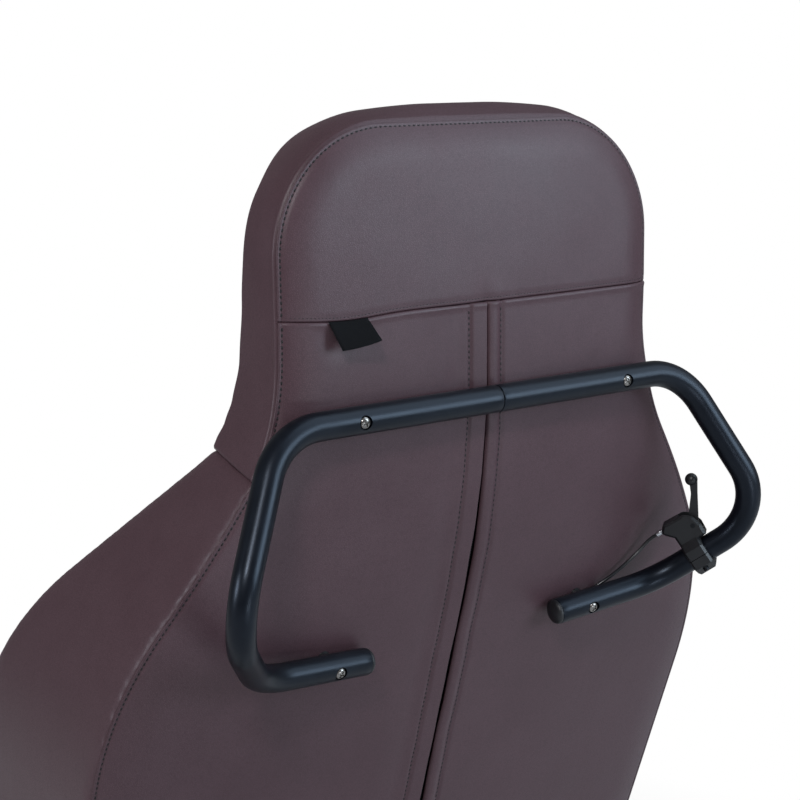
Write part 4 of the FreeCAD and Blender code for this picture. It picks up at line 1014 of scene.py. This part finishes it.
# padded pieces: the solid's shape remeshed, swelled by cloth and capped
def remeshed(node, voxel):
    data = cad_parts[node].data.copy()
    bm = bmesh.new()
    bm.from_mesh(data)
    bmesh.ops.remove_doubles(bm, verts=bm.verts, dist=1e-5)
    bm.to_mesh(data)
    bm.free()
    data.materials.clear()
    scratch = addObject("scratch", data)
    mesher = scratch.modifiers.new("mesher", "REMESH")
    mesher.mode = "VOXEL"
    mesher.voxel_size = voxel
    graph = bpy.context.evaluated_depsgraph_get()
    graph.update()
    result = bpy.data.meshes.new_from_object(scratch.evaluated_get(graph))
    bpy.data.objects.remove(scratch)
    bpy.data.meshes.remove(data)
    return result


clothLook = {"frames": 20, "tension": 15, "bending": 1.0}


def swelled(data, pressure, cap):
    # cloth under pressure for some frames, no point moved further than the cap
    scratch = addObject("scratch", data)
    rest = [v.co.copy() for v in data.vertices]
    cloth = scratch.modifiers.new("cloth", "CLOTH")
    cloth.settings.use_pressure = True
    cloth.settings.uniform_pressure_force = pressure
    cloth.settings.tension_stiffness = clothLook["tension"]
    cloth.settings.bending_stiffness = clothLook["bending"]
    cloth.settings.effector_weights.gravity = 0
    cloth.collision_settings.use_collision = False
    scene = bpy.context.scene
    for step in range(1, clothLook["frames"] + 1):
        scene.frame_set(step)
    graph = bpy.context.evaluated_depsgraph_get()
    result = bpy.data.meshes.new_from_object(scratch.evaluated_get(graph))
    scene.frame_set(1)
    for v, start in zip(result.vertices, rest):
        move = v.co - start
        if move.length > cap:
            v.co = start + move.normalized() * cap
    bpy.data.objects.remove(scratch)
    return result


def padPiece(name, node, look, body, shape=None):
    data = remeshed(node, look["voxel"])
    if "pressure" in look:
        data = swelled(data, look["pressure"], look["cap"])
    bm = bmesh.new()
    bm.from_mesh(data)
    for again in range(look["smooth"]):
        bmesh.ops.smooth_vert(bm, verts=bm.verts, factor=0.5, use_axis_x=True, use_axis_y=True,
                              use_axis_z=True)
    if shape:
        bm.normal_update()
        moves = [(v, shape(v.co, v.normal)) for v in bm.verts]
        for v, spot in moves:
            v.co = spot
    piece = keepPiece(name, bm, vinylSkin, body, [node])
    finer = piece.modifiers.new("finer", "SUBSURF")
    finer.levels = 1
    finer.render_levels = 1
    bpy.data.meshes.remove(data)
    return piece


armLook = {"voxel": 0.0059, "smooth": 3, "fill": 0.8, "puff": 0.0018, "frontShare": 0.8, "turn": 0.8,
           "under": 0.0006}
seatLook = {"voxel": 0.006, "pressure": 4.0, "cap": 0.012, "smooth": 2, "fill": 0.6}
cushionLook = {"voxel": 0.0069, "pressure": 4.0, "cap": 0.010, "smooth": 2, "fill": 0.6}
legPadLook = {"voxel": 0.005, "pressure": 4.0, "cap": 0.010, "smooth": 2, "fill": 0.7}
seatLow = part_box("seat_cushion")[0]
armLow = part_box("arm_left")[0]
seamLook = {"seatY": seatLow.y + 0.078, "armY": armLow.y + 0.052, "backZ": (0.705, 0.985), "deep": 0.0034,
            "wide": 0.0062, "rowAway": 0.0068, "turned": 0.2}


def pulledIn(point, normal, distance):
    # a sewn seam draws the skin into a soft groove
    return point - normal * seamLook["deep"] * bell(distance, seamLook["wide"])


def seatShape(point, normal):
    if normal.z <= -seamLook["turned"]:
        return point
    return pulledIn(point, normal, point.y - seamLook["seatY"])


def backShape(point, normal):
    if normal.y > -seamLook["turned"]:
        return point
    return pulledIn(point, normal, min((point.z - z for z in seamLook["backZ"]), key=abs))


def armShape(point, normal):
    # the outer skin stands a little proud, and the rear edge stays under the cover's seam
    outward = max(normal.x * math.copysign(1.0, point.x), normal.z, -armLook["frontShare"] * normal.y)
    spot = point + normal * armLook["puff"] * smoothStep(outward / armLook["turn"])
    spot = pulledIn(spot, normal, point.y - seamLook["armY"])
    crown = crownAt(min(back["half"], abs(spot.x)))
    spot.y = min(spot.y, backY(spot.z, crown + edgeRoll(spot.z)[0] + armLook["under"]))
    return spot


armPads = [padPiece("armPad_" + side, "arm_" + side, armLook, "shell", armShape)
           for side in ("left", "right")]
seatPad = padPiece("seatPad", "seat_cushion", seatLook, "shell", seatShape)
backPad = padPiece("backPad", "back_cushion", cushionLook, "shell", backShape)
padPiece("calfPad", "legrest_pad", legPadLook, "legrest")
print("padded pieces ready")


# twin stitch rows beside the sewn seams
def seamRuns(piece, spot, across, shows):
    # the piece cut by a plane, as runs of points and normals on the side that shows
    cutBm = bmesh.new()
    cutBm.from_mesh(piece.data)
    everything = cutBm.verts[:] + cutBm.edges[:] + cutBm.faces[:]
    cut = bmesh.ops.bisect_plane(cutBm, geom=everything, plane_co=spot, plane_no=across)["geom_cut"]
    cutBm.normal_update()
    waiting = {g for g in cut if isinstance(g, bmesh.types.BMEdge)
               and all(shows(v.co, v.normal) for v in g.verts)}
    runs = []
    while waiting:
        meets = {}
        for edge in waiting:
            for v in edge.verts:
                meets.setdefault(v, []).append(edge)
        at = min((v for v in meets), key=lambda v: (len(meets[v]), v.index))
        run = [(at.co.copy(), at.normal.copy())]
        while True:
            onward = sorted((e for e in meets[at] if e in waiting), key=lambda e: e.index)
            if not onward:
                break
            waiting.discard(onward[0])
            at = onward[0].other_vert(at)
            run.append((at.co.copy(), at.normal.copy()))
        runs.append(run)
    cutBm.free()
    return runs


def facesUp(point, normal):
    return normal.z > 0.1 or normal.y < -0.5


def facesFront(point, normal):
    return normal.y < -0.3


def facesOut(point, normal):
    return normal.z > -0.5


bm = bmesh.new()
for away in (-seamLook["rowAway"], seamLook["rowAway"]):
    rows = seamRuns(seatPad, (0, seamLook["seatY"] + away, 0), (0, 1, 0), facesUp)
    for z in seamLook["backZ"]:
        rows += seamRuns(backPad, (0, 0, z + away), (0, 0, 1), facesFront)
    for pad in armPads:
        rows += seamRuns(pad, (0, seamLook["armY"] + away, 0), (0, 1, 0), facesOut)
    for row in rows:
        stitchRow(bm, row, stitchLook)
print("seat, back and arm stitches:", len(bm.faces), "faces")
keepPiece("frontStitches", bm, seamThread, "shell")

# grip ribs on the footplate
ribLook = {"pitch": 0.016, "width": 0.0040, "height": 0.0022, "sunk": 0.0004, "inset": 0.022, "over": 0.01,
           "level": 0.0005, "edge": 0.0007}
plateLow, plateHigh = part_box("footplate")
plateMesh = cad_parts["footplate"].data
plateTree = BVHTree.FromPolygons([v.co for v in plateMesh.vertices],
                                 [tuple(f.vertices) for f in plateMesh.polygons])
bm = bmesh.new()
y = plateLow.y + ribLook["inset"]
ribs = 0
while y < plateHigh.y - ribLook["inset"]:
    ends = []
    for side in (-1, 1):
        x = side * (plateHigh.x - ribLook["inset"])
        above = Vector((x, y, plateHigh.z + ribLook["over"]))
        ends.append(plateTree.ray_cast(above, Vector((0, 0, -1)))[0])
    if all(ends) and abs(ends[0].z - ends[1].z) < ribLook["level"]:
        long = ends[1].x - ends[0].x
        rise = ribLook["height"] / 2 - ribLook["sunk"]
        spot = (ends[0] + ends[1]) / 2 + Vector((0, 0, rise))
        addBox(bm, spot, (long, ribLook["width"], ribLook["height"]))
        ribs += 1
    y += ribLook["pitch"]
tops = [e for e in bm.edges if e.calc_face_angle(0.0) > cornerTurn]
bmesh.ops.bevel(bm, geom=tops, offset=ribLook["edge"], offset_type="OFFSET", segments=2, profile=0.5,
                affect="EDGES", material=-1)
keepPiece("footplateRibs", bm, treadRubber, "footplate", smooth=False)
print("footplate ribs:", ribs)

# finishes and edges of the solids that stay
nodeFinish = {"handle_spigot": zincPlate, "lever_clamp": blackNylon, "tilt_lever": blackNylon,
              "cable_ferrule": zincPlate, "tilt_cable": cableSheath, "cable_grommet": blackNylon,
              "cable_clips": blackNylon, "rear_zip": zipTape, "tee_nuts": zincPlate,
              "lever_clamp_screws": blackSteel, "lever_pin": blackSteel, "back_board": birchPly,
              "arm_boards": birchPly, "seat_board": stainedPly, "gas_cylinder": gasGloss,
              "gas_rod": chromeRod, "release_head": blackNylon, "pivot_bushes": blackNylon,
              "pivot_bolts": zincPlate,
              "legrest_pins": zincPlate, "footplate": treadRubber, "base_end_caps": blackNylon,
              "castor_housings": zincPlate, "castor_fork": zincPlate, "brake_pedal": blackNylon}
edgeLook = {"weld": 0.00001, "width": 0.0006, "segments": 2, "turn": 35.0}
for nodeName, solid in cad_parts.items():
    if solid.hide_render:
        continue
    chosen = framePowder
    for key, finish in nodeFinish.items():
        if nodeName.startswith(key):
            chosen = finish
    if nodeName.startswith("castor_wheel_"):
        low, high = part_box(nodeName)
        chosen = castorFinish("tyre_" + nodeName.removeprefix("castor_wheel_"), (low + high) / 2, wheelLook)
    solid.data.materials.clear()
    solid.data.materials.append(chosen)
    weld = solid.modifiers.new("weld", "WELD")
    weld.merge_threshold = edgeLook["weld"]
    edges = solid.modifiers.new("edges", "BEVEL")
    edges.width = edgeLook["width"]
    edges.segments = edgeLook["segments"]
    edges.limit_method = "ANGLE"
    edges.angle_limit = math.radians(edgeLook["turn"])
    edges.use_clamp_overlap = True
    edges.harden_normals = False
print("solids finished")

# floor, light and camera
roomLook = {"floorSize": 14.0, "floorColour": (0.55, 0.55, 0.55, 1.0), "floorRough": 0.9,
            "mirrorShare": 0.06, "near": 0.72, "far": 0.28, "fadeFrom": 0.55, "fadeTo": 1.25,
            "sky": (0.95, 0.97, 1.0, 1),
            "skyPower": 0.14, "white": (1, 1, 1, 1)}


def plainView(start):
    # 1 where the camera looks straight at it or through a clear piece, a small share in reflections
    path = start.node("ShaderNodeLightPath")
    seen = path.other("Is Camera Ray") + roomLook["mirrorShare"] * path.other("Is Glossy Ray")
    return (seen + path.other("Is Transmission Ray")).clamp()


floorBm = bmesh.new()
bmesh.ops.create_grid(floorBm, x_segments=1, y_segments=1, size=roomLook["floorSize"])
floorData = bpy.data.meshes.new("floor")
floorBm.to_mesh(floorData)
floorBm.free()
floor = addObject("floor", floorData)
made, shader, start, place = startFinish("floor_pale")
plug(shader, start.tree, colour=roomLook["floorColour"], rough=roomLook["floorRough"])
glow = start.node("ShaderNodeEmission", None, {"Color": roomLook["white"], "Strength": 1.0})
reach = start.node("ShaderNodeVectorMath", {"operation": "LENGTH"}, {0: place}, 1)
share = roomLook["near"] + roomLook["far"] * reach.ramp(roomLook["fadeFrom"], roomLook["fadeTo"])
mixed = start.node("ShaderNodeMixShader", None,
                   {0: plainView(start) * share, 1: Sock(start.tree, shader.outputs[0]), 2: glow})
start.tree.links.new(mixed.out, start.tree.nodes["Material Output"].inputs["Surface"])
floorData.materials.append(made)

world = bpy.data.worlds.new("studio")
bpy.context.scene.world = world
world.use_nodes = True
sky = Sock(world.node_tree)
room = sky.node("ShaderNodeBackground", None, {"Color": roomLook["sky"], "Strength": roomLook["skyPower"]})
white = sky.node("ShaderNodeBackground", None, {"Color": roomLook["white"], "Strength": 1.0})
both = sky.node("ShaderNodeMixShader", None, {0: plainView(sky), 1: room, 2: white})
ends = [n for n in world.node_tree.nodes if n.type == "OUTPUT_WORLD"]
world.node_tree.links.new(both.out, ends[0].inputs["Surface"])

# name, place, aim, size, power, colour, shows in reflections
lampLook = (("topLamp", (-1.7, 1.7, 3.2), (0, 0.40, 0.95), (2.4, 3.2), 50.0, (0.72, 0.86, 1.0), True),
            ("keyLamp", (1.88, 2.06, 2.91), (0.1, 0.45, 0.95), (0.4, 0.4), 44.0, (0.97, 0.97, 1.0), True),
            ("behindLamp", (-2.1, 3.3, 1.76), (0, 0.45, 1.1), (1.9, 1.5), 72.0, (0.72, 0.87, 1.0), True),
            ("rightLamp", (-2.9, 1.6, 1.9), (0, 0.45, 0.9), (0.4, 0.4), 4.0, (1.0, 0.98, 0.96), False),
            ("leftLamp", (3.0, 0.1, 1.6), (0, 0.30, 1.05), (0.4, 0.8), 34.0, (0.86, 0.91, 1.0), True),
            ("lowLamp", (-0.05, 3.3, 0.26), (0.0, 0.45, 0.98), (0.8, 0.4), 10.0, (0.86, 0.92, 1.0), True),
            ("frontLamp", (-0.8, -3.4, 2.4), (0, 0, 0.7), (2.0, 2.0), 75.0, (1.0, 1.0, 1.0), False))
for name, spot, aim, size, power, colour, mirrored in lampLook:
    lamp = bpy.data.lights.new(name, "AREA")
    lamp.shape = "RECTANGLE"
    lamp.size, lamp.size_y = size
    lamp.energy = power
    lamp.color = colour
    holder = addObject(name, lamp)
    holder.location = spot
    holder.rotation_euler = (Vector(aim) - Vector(spot)).to_track_quat("-Z", "Y").to_euler()
    holder.visible_glossy = mirrored

cameraLook = {"lens": 78.75, "sensor": 36.0, "away": (0.991, 1.169, 1.307), "turn": (78.25, 0.0, 142.92)}
cameraData = bpy.data.cameras.new("photoCamera")
cameraData.lens = cameraLook["lens"]
cameraData.sensor_width = cameraLook["sensor"]
camera = addObject("photoCamera", cameraData)
camera.location = Vector(cameraLook["away"]) + Vector((0, barY, 0))
camera.rotation_euler = [math.radians(a) for a in cameraLook["turn"]]
bpy.context.scene.camera = camera
bpy.context.scene.view_settings.view_transform = "Standard"
print("stage ready")

bpy.context.view_layer.update()
